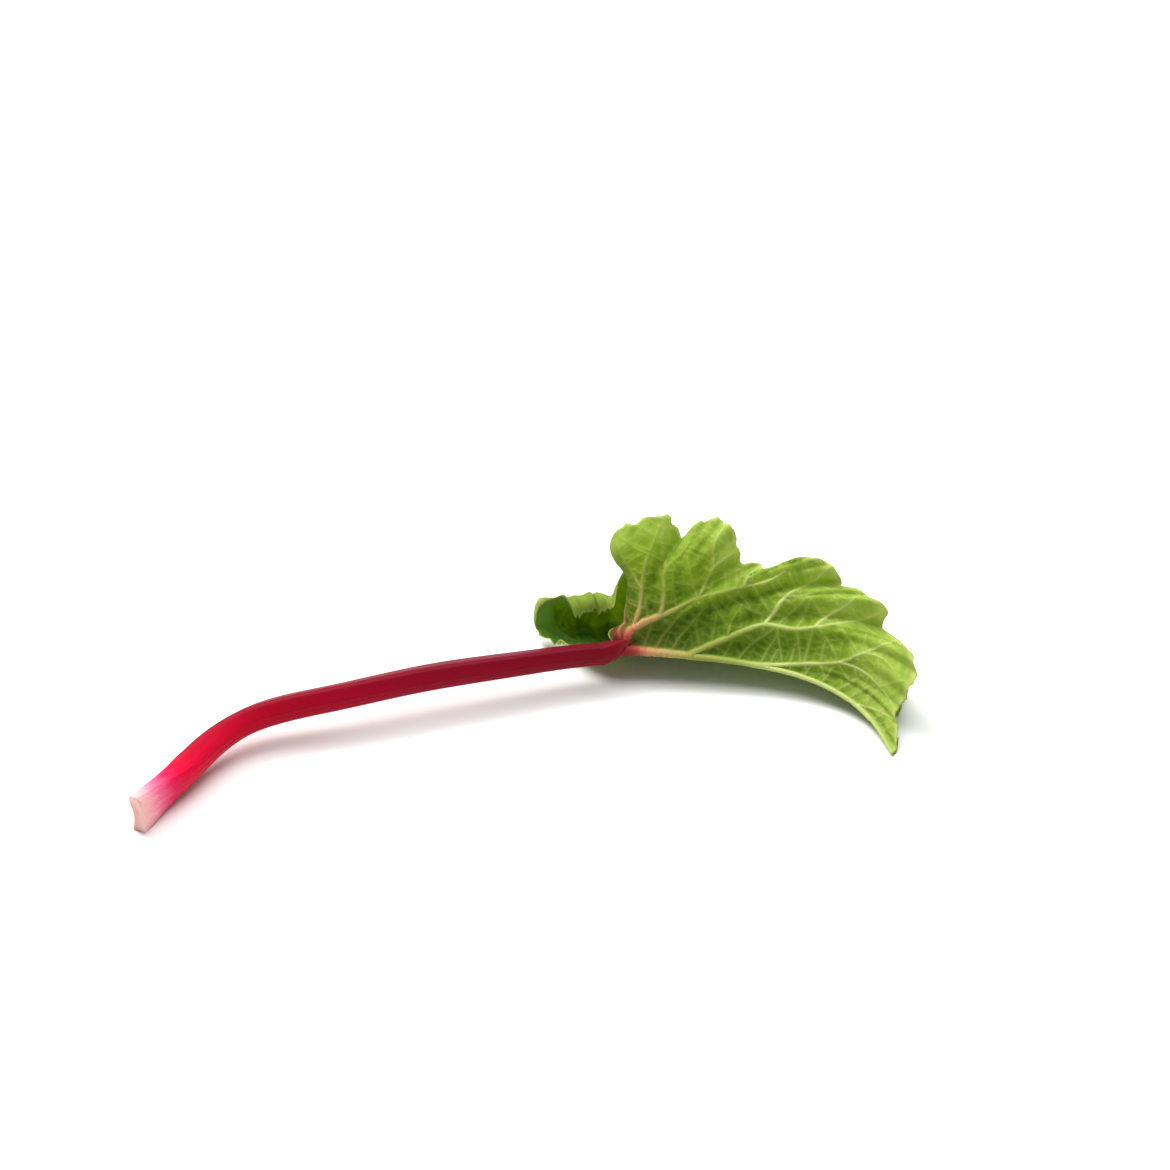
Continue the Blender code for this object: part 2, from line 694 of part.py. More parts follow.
def solid(name, vertices, faces, colour, roughness):
    """A mesh object from vertices in millimetres round the junction."""
    placed = (vertices + (*JUNCTION, 0)) * MM
    mesh = bpy.data.meshes.new(name)
    mesh.from_pydata([tuple(map(float, v)) for v in placed], [], [tuple(map(int, f)) for f in faces])
    mesh.validate()
    mesh.shade_smooth()
    mesh.materials.append(material(name, colour, roughness))
    made = bpy.data.objects.new(name, mesh)
    bpy.context.scene.collection.objects.link(made)
    return made


def join(body, addition):
    """Unites the addition with the body and removes it."""
    union = body.modifiers.new("union", "BOOLEAN")
    union.operation = "UNION"
    union.object = addition
    bpy.context.view_layer.update()
    graph = bpy.context.evaluated_depsgraph_get()
    united = bpy.data.meshes.new_from_object(body.evaluated_get(graph))
    body.modifiers.clear()
    body.data = united
    bpy.data.objects.remove(addition)


def main():
    for old in list(bpy.data.objects):
        bpy.data.objects.remove(old)
    make_stalk()
    make_leaf()


main()
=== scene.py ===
"""The looks of a pulled rhubarb stalk: a ribbed, shaded skin and a veined, translucent leaf.

The shapes repeat the part's own: a spine from foot to tip, the stalk's section along it, and a leaf
drawn flat (u along the midrib, v across it) and folded into its resting shape. They are worked out in
millimetres from the junction of stalk and blade. MM turns them into metres, and the frame's box of
the stalk says where they stand.
"""

import math
import random

import bpy
import numpy as np
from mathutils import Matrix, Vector
from mathutils.geometry import delaunay_2d_cdt
from mathutils.kdtree import KDTree


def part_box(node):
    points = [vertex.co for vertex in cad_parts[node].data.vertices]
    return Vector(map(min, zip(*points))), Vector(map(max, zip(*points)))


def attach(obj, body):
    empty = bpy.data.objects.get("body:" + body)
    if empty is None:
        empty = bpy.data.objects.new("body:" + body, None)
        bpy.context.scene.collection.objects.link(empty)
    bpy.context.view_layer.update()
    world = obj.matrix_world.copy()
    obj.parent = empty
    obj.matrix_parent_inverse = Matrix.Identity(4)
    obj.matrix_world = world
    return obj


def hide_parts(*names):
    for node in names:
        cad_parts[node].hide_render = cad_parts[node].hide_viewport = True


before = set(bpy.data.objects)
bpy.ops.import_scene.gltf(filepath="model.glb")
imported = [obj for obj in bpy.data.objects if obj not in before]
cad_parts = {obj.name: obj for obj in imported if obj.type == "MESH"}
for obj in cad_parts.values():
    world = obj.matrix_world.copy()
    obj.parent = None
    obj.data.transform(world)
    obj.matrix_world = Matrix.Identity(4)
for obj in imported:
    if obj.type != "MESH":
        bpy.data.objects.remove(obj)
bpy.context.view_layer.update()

MM = 0.001
TINY = 1e-12
FAR = 1e9

# ---------------------------------------------------------------- the part's own dimensions

SPINE = [
    (-293, -151, 11.5),
    (-270, -111, 14),
    (-238, -70, 20),
    (-184, -51, 25.5),
    (-127, -33, 27.5),
    (-64, -14, 26),
    (0, 0, 24),
    (46, -3, 22),
    (88, -9, 19),
    (128, -22, 14),
    (154, -43, 8),
    (170, -79, 1.6),
]
JUNCTION_KNOT = 6
LEAF_LENGTH = 205.0

# The stalk's section at distances from the foot, and how far its grooved side is turned up.
SECTION_AT = (0, 12, 50, 100, 220, 335)
HALF_WIDTH = (15.6, 14.2, 11.6, 9.8, 9.5, 9.2)
GROOVED_HEIGHT = (4.4, 5.0, 9.3, 7.8, 7.4, 5.7)
RIBBED_DEPTH = (6.4, 7.2, 9.8, 9.6, 9.4, 8.8)
GROOVE_DEPTH = (3.0, 2.6, 1.2, 0.8, 0.8, 0.6)
TURN_AT = (0, 60, 130, 250, 335)
TURN = (0, 34, 57, 64, 62)
# How round the section is on its flanks, its grooved side and its ribbed side: 1 is an ellipse, and
# less is squarer.
FLANK_POWER = 0.85
FLAT_POWER = 0.38
RIBBED_POWER = 0.9
RIB_HEIGHT = 0.12
RIB_COUNT = 18
# The ribs come in this steeply below the section's widest line.
RIB_ONSET = 3
# The stalk's last stretch leans into the stoutest side vein and thins by these shares.
STUB_LENGTH = 12.0
STUB_REACH = 7.0
STUB_LIFT = 7.0
STUB_AT = (0, 0.45, 1)
STUB_SHARE = (1, 0.93, 0.25)
STUB_RISE = (0, 0.3, 1)
# The ribs' share of their height, at shares of the way along the stub.
STUB_RIBS_AT = (-0.3, 0.2)
STUB_RIBS = (1, 0.2)

BLADE_THICKNESS = 0.8
HUB_RADIUS = 7.0
# The upper half leans back at these angles above level, at these distances from the midrib.
LEAN_AT = (0, 14, 40, 80, 130)
LEAN_AT_ROOT = (52, 58, 52, 38, 20)
LEAN_AT_TIP = (42, 48, 42, 34, 24)
LEAN_STEPS = 261
PROFILE_STEPS = 441
MOST_SHARE = 1.05
# The lower half slopes down to the table, and its edge lifts again.
SLOPE_AT_MIDRIB = 0.68
LEAST_DROP = 0.3
EDGE_LIFT = 8.0
# The rear lobe of the lower half rises and curls over: these degrees at these shares of its reach,
# in full between the middle two of these angles from the midrib.
CURL_AT = (0.4, 0.62, 0.75, 1.0)
CURL = (0, 34, 122, 250)
CURL_MORE = 1.08
CURL_WAVE = 10.0
CURL_LEVELS = 15
CURL_BETWEEN = (76, 98, 124, 134)
CURL_STRENGTH = (0, 1, 1, 0)
NEAR_LOBE_FROM = (126, 138)
NEAR_LOBE_LIFT = (1, 0.3)
LIFT_FROM = 0.68
LIFT_CLEAR = 35.0
MOST_LIFTED = 1.1
LIFT_SHORTENS = 90
# The thick ends of the ribs hold the sheet this far off the table, out to this share of its reach.
RIB_ROOM = 0.9
RIB_ROOM_SHARE = 0.75
# The back of the upper half rolls inwards from this far ahead of the junction.
ROLL_RADIUS = 12.0
ROLL_AT = (20, 45, 72, 90)
ROLL_FROM = (16, 17, 7, 11)
ROLL_FADE = (5, 18)
MOST_ROLL = 2.6
LEAST_LEAN = 0.6
# How far the sheet bulges between the main veins, and how far from a vein it has mostly done so.
QUILT_HEIGHT = 3.2
QUILT_WIDTH = 8.0
WAVE_POWER = 2.4
# The blade's edge: the angle from the midrib in degrees, the reach from the junction, and how far the
# edge waves out towards the underside.
UPPER_EDGE = [
    (0, 205, 0),
    (6, 180, -3),
    (11, 183, 2),
    (15, 177, 4),
    (19.3, 156, -5),
    (23.5, 156, 4),
    (26.5, 147, 3),
    (28.5, 138, -6),
    (32.5, 138, 5),
    (35.6, 128, 8),
    (37.2, 104, 0),
    (39.8, 105, -6),
    (43.5, 96, -7),
    (48, 100, 0),
    (54, 105, 6),
    (59, 105, 7),
    (64, 99, 2),
    (68.5, 86, -9),
    (74.5, 92, 3),
    (80, 89, 4),
    (86, 84, 0),
    (96, 79, -3),
    (106, 76, 2),
    (113, 58, -3),
    (118, 40, 2),
    (123, 19, -1),
    (129, 8, 0),
    (180, HUB_RADIUS, 0),
]
LOWER_EDGE = [
    (0, 205, 0),
    (6, 178, -3),
    (13, 170, -1),
    (20, 152, -7),
    (27, 154, -1),
    (33, 134, -9),
    (41, 130, -1),
    (49, 104, -11),
    (60, 108, -1),
    (70, 90, -12),
    (81, 98, -2),
    (91, 94, -7),
    (101, 110, -1),
    (111, 108, -6),
    (119, 114, 0),
    (125, 106, -5),
    (131, 82, -2),
    (137, 68, -1),
    (140.5, 52, -2),
    (143.5, 28, -1),
    (147, 8, 0),
    (180, HUB_RADIUS, 0),
]
# Fine teeth of the margin: their height, the waves round the leaf with the part of it that each
# takes, and how far from the hub they are full.
CRINKLE = 0.9
CRINKLE_WAVES = ((range(40, 90, 7), 3), (range(110, 260, 23), 7))
CRINKLE_FULL = 60
CRINKLE_SEED = 7
MIDRIB_AT = (0, 20, 47, 88, 165, LEAF_LENGTH)
MIDRIB_RADIUS = (3.0, 2.4, 1.9, 1.35, 0.85, 0.45)
SIDE_VEIN = [(2, 3), (6, 12), (24, 24), (36, 31), (47, 38), (60, 43), (73, 49), (85, 54), (94, 63)]
LONG_VEIN = [(44, 0), (58, 9), (68, 15), (79, 22), (90, 27), (105, 28)]
LONG_VEIN += [(117, 33), (130, 43), (139, 53), (145, 61)]
# The veins of the upper half: flat points, and the radius at the start and at the end.
UPPER_VEINS = [
    (SIDE_VEIN, 2.8, 0.45),
    ([(24, 24), (25, 40), (25, 54), (31, 62), (37, 73)], 1.2, 0.3),
    ([(25, 54), (23, 66), (22, 77), (22, 87)], 0.8, 0.25),
    ([(7, 12), (11, 26), (12, 40), (13, 54), (17, 70), (20, 82)], 1.4, 0.3),
    ([(12, 40), (4, 54), (-3, 70)], 0.8, 0.3),
    ([(1, 4), (-2, 18), (-7, 38), (-13, 56)], 1.3, 0.3),
    ([(47, 38), (50, 49), (54, 59), (60, 66), (67, 73)], 1.1, 0.3),
    ([(54, 59), (52, 69), (55, 80), (60, 90)], 0.7, 0.25),
    ([(46, 38), (42, 46), (39, 55), (37, 62)], 0.6, 0.25),
    ([(73, 49), (75, 56), (78, 61), (84, 66)], 0.6, 0.25),
    (LONG_VEIN, 1.8, 0.35),
    ([(89, 27), (93, 37), (98, 48), (104, 56), (111, 66), (117, 76)], 1.1, 0.3),
    ([(98, 48), (105, 50), (113, 56)], 0.55, 0.25),
    ([(117, 33), (122, 45), (128, 54), (132, 66)], 0.8, 0.3),
    ([(68, 15), (68, 22), (71, 32)], 0.5, 0.25),
    ([(84, 0), (97, 2), (119, 9), (136, 18), (145, 29), (152, 40), (157, 51)], 1.3, 0.35),
    ([(136, 18), (147, 20), (161, 19), (175, 16)], 0.8, 0.3),
    ([(146, 30), (155, 34), (164, 33)], 0.5, 0.25),
    ([(158, 0), (170, 6), (182, 11)], 0.6, 0.25),
]
# How fast the veins thin out, and how fast the stoutest side vein does.
VEIN_TAPER = 1.6
SIDE_VEIN_TAPER = 2.6
# The lower half's veins are those of the upper half, stretched and mirrored.
LOWER_STRETCH = (0.97, -1.04)
RIB_RISE = 1.15
RIB_SPREAD = 1.5

# ---------------------------------------------------------------- what the scene adds

STALK_SIDES = 120
STALK_RING_STEP = 1.25
# Fine lines on the stalk's skin: their height, how many go round, and how they sway along it, as
# sway, length of wave and shift.
FINE_RIB_HEIGHT = 0.04
FINE_RIB_COUNTS = (61, 37)
FINE_RIB_SWAY = ((0.5, 47, 0), (0.35, 19, 1))
# The torn end of the foot: how far its rim and its middle stand out, how deep it is hollowed, and how
# rough it is in how many waves round. Its rings are shares of its radius.
FOOT_RIM = 0.5
FOOT_MIDDLE = 0.9
FOOT_HOLLOW = 1.7
FOOT_ROUGHNESS = 0.35
FOOT_WAVES = (3, 5, 9, 17)
FOOT_RIPPLE = 9.0
FOOT_RINGS = (0.02, 0.2, 0.4, 0.6, 0.78, 0.9, 0.97)
FOOT_SEED = 3
# What the attribute "along" holds on the torn end.
END_MARK = -1.5
EDGE_THICKNESS = 0.4
EDGE_STEP = 1.1
VEIN_STEP = 1.0
FIELD_STEP = 1.5
CROWDED = 0.42
# Rows of mesh points along each kind of vein, at these shares of its radius, or of this least radius.
MAIN_ROWS = ((0, 0.45, -0.45, 0.9, -0.9, 1.35, -1.35), 0.6)
BRANCH_ROWS = ((0, 1.2, -1.2), 0.5)
NET_ROWS = ((0, 1.6, -1.6), 0.35)
CLEAR_OF_CREASE = 0.35
CLEAR_OF_EDGE = 0.6
# Branch veins: spacing along their parent, angle from it in degrees, how far they may run, how near
# to another vein they stop, and the radius at their start and end.
BRANCH = {"spacing": 9.5, "angle": 74, "longest": 38.0, "stop": 1.8, "radius": (0.38, 0.2)}
NET = {"spacing": 5.2, "angle": 80, "longest": 11.0, "stop": 1.3, "radius": (0.22, 0.14)}
# They start at shares of the spacing drawn from these ranges, clear of the hub and of the parent's end.
FIRST_GAP = (0.5, 0.9)
NEXT_GAP = (0.5, 0.95)
PARTNER_GAP = (0.08, 0.3)
CLEAR_OF_HUB = 13
CLEAR_OF_END = 2
# They grow by steps, turn a little at random, bend back towards the parent and stop short of the margin.
GROW_STEP = 0.9
ANGLE_SPREAD = 7
WANDER = 0.05
BEND_BACK = (0.1, 0.35)
GROW_TO = 0.975
CLEAR_OF_MIDRIB = 0.5
FEWEST_POINTS = 4
THINNER_THAN_PARENT = 0.6
# How far the blade swells between its veins, and over what distance.
BRANCH_QUILT = (1.0, 2.7)
NET_QUILT = (0.45, 1.5)
VEIN_SEED = 11
# Small ruffles along the margin: their height, the lengths of their waves, and how close they keep to
# the margin.
RUFFLE = 0.85
RUFFLE_WAVES = (9.5, 13.0, 18.0, 26.0)
RUFFLE_POWER = 5
RUFFLE_FULL = 50
RUFFLE_SEED = 4

LENS_MM = 85
SENSOR_MM = 36
ELEVATION = 35
DISTANCE = 1782.3
LOOK_AT = (-22.6, 24.4, 58.9)


def unit(vectors):
    """The vectors at length 1."""
    return vectors / np.linalg.norm(vectors, axis=-1, keepdims=True)


def lengths_along(points):
    """The length of the line through the points, up to each of them."""
    return np.concatenate([[0.0], np.cumsum(np.linalg.norm(np.diff(points, axis=0), axis=1))])


def eased(at, values, x):
    """The values at x, level at each of the given places and smooth between them."""
    at = np.asarray(at, float)
    values = np.asarray(values, float)
    x = np.clip(x, at[0], at[-1])
    i = np.clip(np.searchsorted(at, x, side="right") - 1, 0, len(at) - 2)
    t = (x - at[i]) / (at[i + 1] - at[i])
    return values[i] + (values[i + 1] - values[i]) * t * t * (3 - 2 * t)


class Spine:
    """A smooth curve through points, read by its length along it."""

    def __init__(self, points, samples=1200):
        points = np.array(points, float)
        knots = lengths_along(points)
        steps = np.diff(knots)
        bend = self.bends(points, steps)
        t = np.linspace(0, knots[-1], samples)
        i = np.clip(np.searchsorted(knots, t, side="right") - 1, 0, len(steps) - 1)
        step = steps[i][:, None]
        before = (knots[i + 1] - t)[:, None] / step
        after = 1 - before
        self.points = before * points[i] + after * points[i + 1]
        self.points += (before**3 - before) * bend[i] * step**2 / 6
        self.points += (after**3 - after) * bend[i + 1] * step**2 / 6
        self.lengths = lengths_along(self.points)
        self.headings = unit(np.gradient(self.points, self.lengths, axis=0))
        self.length_at_knots = np.interp(knots, t, self.lengths)

    @staticmethod
    def bends(points, steps):
        """Second derivatives of the natural cubic spline at its points."""
        matrix = np.eye(len(points))
        target = np.zeros_like(points)
        for i in range(1, len(points) - 1):
            matrix[i, i - 1 : i + 2] = steps[i - 1], 2 * (steps[i - 1] + steps[i]), steps[i]
            ahead = (points[i + 1] - points[i]) / steps[i]
            behind = (points[i] - points[i - 1]) / steps[i - 1]
            target[i] = 6 * (ahead - behind)
        return np.linalg.solve(matrix, target)

    def place(self, length):
        columns = [np.interp(length, self.lengths, column) for column in self.points.T]
        return np.stack(columns, -1)

    def heading(self, length):
        columns = [np.interp(length, self.lengths, column) for column in self.headings.T]
        return unit(np.stack(columns, -1))


SPINE_CURVE = Spine(SPINE)
JUNCTION_LENGTH = SPINE_CURVE.length_at_knots[JUNCTION_KNOT]


def frame_at(length):
    """Place, heading, and the level and upright directions across the spine."""
    heading = SPINE_CURVE.heading(length)
    back = unit(np.cross([0.0, 0.0, 1.0], heading))
    return SPINE_CURVE.place(length), heading, back, np.cross(heading, back)


# ---------------------------------------------------------------- the stalk


def section(length, sides, shrink=1.0, ribs=1.0):
    """The stalk's outline across the spine as places in space, with each point's angle."""
    place, _, back, upright = frame_at(length)
    at = min(length, JUNCTION_LENGTH - STUB_LENGTH)
    turn = math.radians(eased(TURN_AT, TURN, at))
    grooved = math.cos(turn) * back + math.sin(turn) * upright
    across = math.cos(turn) * upright - math.sin(turn) * back
    half_width = eased(SECTION_AT, HALF_WIDTH, at)
    angle = math.tau * np.arange(sides) / sides
    cosine, sine = np.cos(angle), np.sin(angle)
    x = half_width * np.sign(cosine) * np.abs(cosine) ** FLANK_POWER
    hollow = eased(SECTION_AT, GROOVE_DEPTH, at) * (1 - (x / half_width) ** 2) ** 2
    top = eased(SECTION_AT, GROOVED_HEIGHT, at) * np.abs(sine) ** FLAT_POWER - hollow
    under = -eased(SECTION_AT, RIBBED_DEPTH, at) * np.abs(sine) ** RIBBED_POWER
    y = np.where(sine > 0, top, under)
    low = np.clip(-sine * RIB_ONSET, 0, 1)
    drift = sum(sway * math.sin(length / wave + shift) for sway, wave, shift in FINE_RIB_SWAY)
    rib = RIB_HEIGHT * np.cos(RIB_COUNT * angle) * low
    many, few = FINE_RIB_COUNTS
    fine = FINE_RIB_HEIGHT * np.cos(many * angle + drift) + FINE_RIB_HEIGHT * np.cos(few * angle - drift)
    x = x + (rib + fine) * cosine * ribs
    y = y + (rib + fine) * sine * ribs
    return place + shrink * (x[:, None] * across + y[:, None] * grooved), angle


def make_stalk():
    """The stalk's skin from the foot to where it runs out along the midrib."""
    end = JUNCTION_LENGTH + STUB_REACH
    lengths = np.linspace(0, end, int(end / STALK_RING_STEP))
    rows, along, around = [], [], []
    for length in lengths:
        t = (length - JUNCTION_LENGTH + STUB_LENGTH) / (STUB_LENGTH + STUB_REACH)
        shrink = float(eased(STUB_AT, STUB_SHARE, t))
        ribs = float(eased(STUB_RIBS_AT, STUB_RIBS, t))
        ring, angle = section(length, STALK_SIDES, shrink, ribs)
        _, _, back, upright = frame_at(length)
        lean = math.radians(LEAN_AT_ROOT[0])
        aside = math.cos(lean) * back + math.sin(lean) * upright
        ring = ring + aside * STUB_LIFT * eased(STUB_AT, STUB_RISE, t)
        rows.append(ring)
        along.append(np.full(STALK_SIDES, length))
        around.append(angle)
    rows, along, around = foot_end(rows, along, around)
    vertices = np.concatenate(rows)
    vertices[:, 2] = np.maximum(vertices[:, 2], 0)
    faces = tube_faces(len(rows), STALK_SIDES)
    made = mesh_object("stalk_skin", vertices, faces)
    put_attribute(made, "along", np.concatenate(along))
    put_attribute(made, "around", np.concatenate(around))
    # Marks the grooved side, which the skin's material darkens with painted shade.
    groove = np.clip(np.sin(np.concatenate(around)) * 2, 0, 1)
    put_attribute(made, "groove", groove)
    return made


def foot_end(rows, along, around):
    """Closes the foot with a shallow, uneven hollow of torn tissue."""
    first = rows[0]
    centre = first.mean(0)
    heading = SPINE_CURVE.heading(0.0)
    draw = random.Random(FOOT_SEED)
    rough = np.zeros(STALK_SIDES)
    for waves in FOOT_WAVES:
        rough += np.cos(waves * around[0] + draw.uniform(0, math.tau)) / waves**0.6
    rows[0] = first - heading * (FOOT_RIM + FOOT_ROUGHNESS * rough[:, None])
    inner_rows, inner_along, inner_around = [], [], []
    for share in FOOT_RINGS:
        sunk = FOOT_HOLLOW * (1 - share**2) + FOOT_ROUGHNESS * rough * math.sin(share * FOOT_RIPPLE)
        inner_rows.append(centre + (first - centre) * share + heading * (sunk[:, None] - FOOT_MIDDLE))
        inner_along.append(np.full(STALK_SIDES, END_MARK))
        inner_around.append(around[0])
    return inner_rows + rows, inner_along + along, inner_around + around


def tube_faces(rings, sides):
    """Faces between the rings of a tube, with both of its ends closed."""
    faces = []
    for r in range(rings - 1):
        for k in range(sides):
            a, b = r * sides + k, r * sides + (k + 1) % sides
            faces.append((a, a + sides, b + sides, b))
    faces.append(tuple(range(sides)))
    top = (rings - 1) * sides
    faces.append(tuple(top + k for k in reversed(range(sides))))
    return faces


# ---------------------------------------------------------------- the flat leaf


def edge_at(angle, upper):
    """Reach and wave of the blade's edge at an angle from the midrib, in degrees."""
    table = np.array(UPPER_EDGE if upper else LOWER_EDGE, float)
    return eased(table[:, 0], table[:, 1], angle), eased(table[:, 0], table[:, 2], angle)


def reach_of(points):
    """The blade's reach in the direction of each flat point."""
    angle = np.degrees(np.arctan2(np.abs(points[:, 1]), points[:, 0]))
    return np.where(points[:, 1] >= 0, edge_at(angle, True)[0], edge_at(angle, False)[0])


def blade_outline():
    """The blade's edge as evenly spaced flat points, anticlockwise from behind the junction."""
    angles = np.radians(np.arange(-180, 180, 0.1))
    reach = reach_of(np.stack([np.cos(angles), np.sin(angles)], 1))
    draw = random.Random(CRINKLE_SEED)
    fade = np.clip((reach - HUB_RADIUS) / CRINKLE_FULL, 0, 1)
    for counts, part in CRINKLE_WAVES:
        for waves in counts:
            reach = reach + CRINKLE / part * fade * np.cos(waves * angles + draw.uniform(0, math.tau))
    points = np.stack([reach * np.cos(angles), reach * np.sin(angles)], 1)
    closed = np.concatenate([points, points[:1]])
    lengths = lengths_along(closed)
    at = np.linspace(0, lengths[-1], int(lengths[-1] / EDGE_STEP), endpoint=False)
    outline = np.stack([np.interp(at, lengths, closed[:, k]) for k in range(2)], 1)
    outline[np.argmax(outline[:, 0])] = LEAF_LENGTH, 0
    outline[0] = -HUB_RADIUS, 0
    return outline


def stepped(points, start, end, taper, step=VEIN_STEP):
    """A smooth line through flat points at even steps, with its radius along it."""
    curve = Spine(points, 400)
    at = np.linspace(0, curve.lengths[-1], 2 + int(curve.lengths[-1] / step))
    return curve.place(at), end + (start - end) * (1 - at / at[-1]) ** taper


def main_veins():
    """The midrib and the veins of both halves, as (flat points, radius at each)."""
    u = np.linspace(0, LEAF_LENGTH, 2 + int(LEAF_LENGTH / VEIN_STEP))
    lines = [(np.stack([u, 0 * u], 1), np.interp(u, MIDRIB_AT, MIDRIB_RADIUS))]
    for stretch in ((1.0, 1.0), LOWER_STRETCH):
        for points, start, end in UPPER_VEINS:
            taper = SIDE_VEIN_TAPER if points is SIDE_VEIN else VEIN_TAPER
            lines.append(stepped(np.array(points, float) * stretch, start, end, taper))
    return lines


class VeinMap:
    """Every vein point so far, to find what a growing vein runs into."""

    def __init__(self):
        self.points = np.empty((0, 2))
        self.owners = np.empty(0, int)

    def add(self, line, owner):
        self.points = np.concatenate([self.points, line])
        self.owners = np.concatenate([self.owners, np.full(len(line), owner)])

    def nearest(self, point, skip):
        """The distance to the nearest point of another owner, and that point."""
        gaps = np.sum((self.points - point) ** 2, 1)
        gaps = np.where(self.owners == skip, FAR, gaps)
        i = int(np.argmin(gaps))
        return math.sqrt(gaps[i]), self.points[i]


def grow(parents, rule, known, draw):
    """Veins that leave the parents at a rule's spacing and angle, and end on others or at the edge."""
    grown = []
    for owner, (line, radius) in enumerate(parents):
        lengths = lengths_along(line)
        at = rule["spacing"] * draw.uniform(*FIRST_GAP)
        side = 1
        while at < lengths[-1] - CLEAR_OF_END:
            i = min(int(np.searchsorted(lengths, at)), len(line) - 2)
            if np.hypot(*line[i]) > CLEAR_OF_HUB:
                for turn in (side, -side):
                    start = line[i] + (line[i + 1] - line[i]) * draw.uniform(0, 1)
                    vein = grow_one(start, line[i + 1] - line[i], turn, owner, radius[i], rule, known, draw)
                    if vein is not None:
                        known.add(vein[0], len(parents) + len(grown))
                        grown.append(vein)
                    at += rule["spacing"] * draw.uniform(*PARTNER_GAP)
            at += rule["spacing"] * draw.uniform(*NEXT_GAP)
            side = -side
    return grown


def grow_one(start, ahead, turn, owner, parent_radius, rule, known, draw):
    """One branch as (flat points, radius at each), or None where there is no room for it."""
    heading = math.atan2(ahead[1], ahead[0])
    heading += turn * math.radians(rule["angle"] + draw.uniform(-ANGLE_SPREAD, ANGLE_SPREAD))
    bend = -turn * math.radians(rule["angle"]) * draw.uniform(*BEND_BACK) / rule["longest"]
    points = [np.array(start)]
    joined = False
    for n in range(int(rule["longest"] / GROW_STEP)):
        heading += bend * GROW_STEP + draw.uniform(-WANDER, WANDER)
        point = points[-1] + GROW_STEP * np.array([math.cos(heading), math.sin(heading)])
        if np.hypot(*point) > GROW_TO * reach_of(point[None])[0]:
            break
        if abs(point[1]) < CLEAR_OF_MIDRIB and n > 1:
            break
        gap, other = known.nearest(point, owner)
        if n > 1 and gap < rule["stop"]:
            points += [point, other]
            joined = True
            break
        points.append(point)
    if len(points) < FEWEST_POINTS - joined:
        return None
    start_radius = min(rule["radius"][0], THINNER_THAN_PARENT * parent_radius)
    return stepped(points, start_radius, min(rule["radius"][1], start_radius), 1.0)


def point_tree(points):
    """A search tree over flat points."""
    tree = KDTree(len(points))
    for i, (u, v) in enumerate(points):
        tree.insert((u, v, 0), i)
    tree.balance()
    return tree


def tree_of(lines):
    """A search tree over the veins' points, with the radius at each."""
    dense = [stepped_like(line, radius) for line, radius in lines]
    points = np.concatenate([line for line, _ in dense])
    radius = np.concatenate([r for _, r in dense])
    return point_tree(points), radius


def stepped_like(line, radius, step=0.3):
    """The line and radius read more closely."""
    knots = lengths_along(line)
    at = np.linspace(0, knots[-1], 2 + int(knots[-1] / step))
    dense = np.stack([np.interp(at, knots, line[:, k]) for k in range(2)], 1)
    return dense, np.interp(at, knots, radius)


def near_veins(points, lines):
    """For each flat point, its distance to the nearest of the veins and the radius there."""
    tree, radius = tree_of(lines)
    distance = np.empty(len(points))
    index = np.empty(len(points), int)
    for n, (u, v) in enumerate(points):
        _, index[n], distance[n] = tree.find((u, v, 0))
    return distance, radius[index]


def rows_beside(lines, offsets, least_radius):
    """Points in rows along the veins, at offsets that are shares of the vein's radius."""
    rows = []
    for line, radius in lines:
        side = np.gradient(line, axis=0)
        side = unit(np.stack([-side[:, 1], side[:, 0]], 1) + TINY)
        wide = np.maximum(radius, least_radius)
        for offset in offsets:
            rows.append(line + side * (wide * offset)[:, None])
    return np.concatenate(rows)


def field_points(outline):
    """An even field of points over the box of the outline."""
    low, high = outline.min(0), outline.max(0)
    rows = []
    for i, v in enumerate(np.arange(low[1], high[1], FIELD_STEP * math.sqrt(0.75))):
        u = np.arange(low[0] + FIELD_STEP / 2 * (i % 2), high[0], FIELD_STEP)
        rows.append(np.stack([u, np.full(len(u), v)], 1))
    return np.concatenate(rows)


def thinned(points, cell):
    """Keeps the first point in each cell, and none that is close to one kept earlier."""
    keys = {}
    kept = []
    for point in points:
        i, j = int(math.floor(point[0] / cell)), int(math.floor(point[1] / cell))
        crowded = False
        for di in (-1, 0, 1):
            for dj in (-1, 0, 1):
                other = keys.get((i + di, j + dj))
                if other is not None and (other[0] - point[0]) ** 2 + (other[1] - point[1]) ** 2 < cell**2:
                    crowded = True
        if not crowded:
            keys[(i, j)] = point
            kept.append(point)
    return np.array(kept)


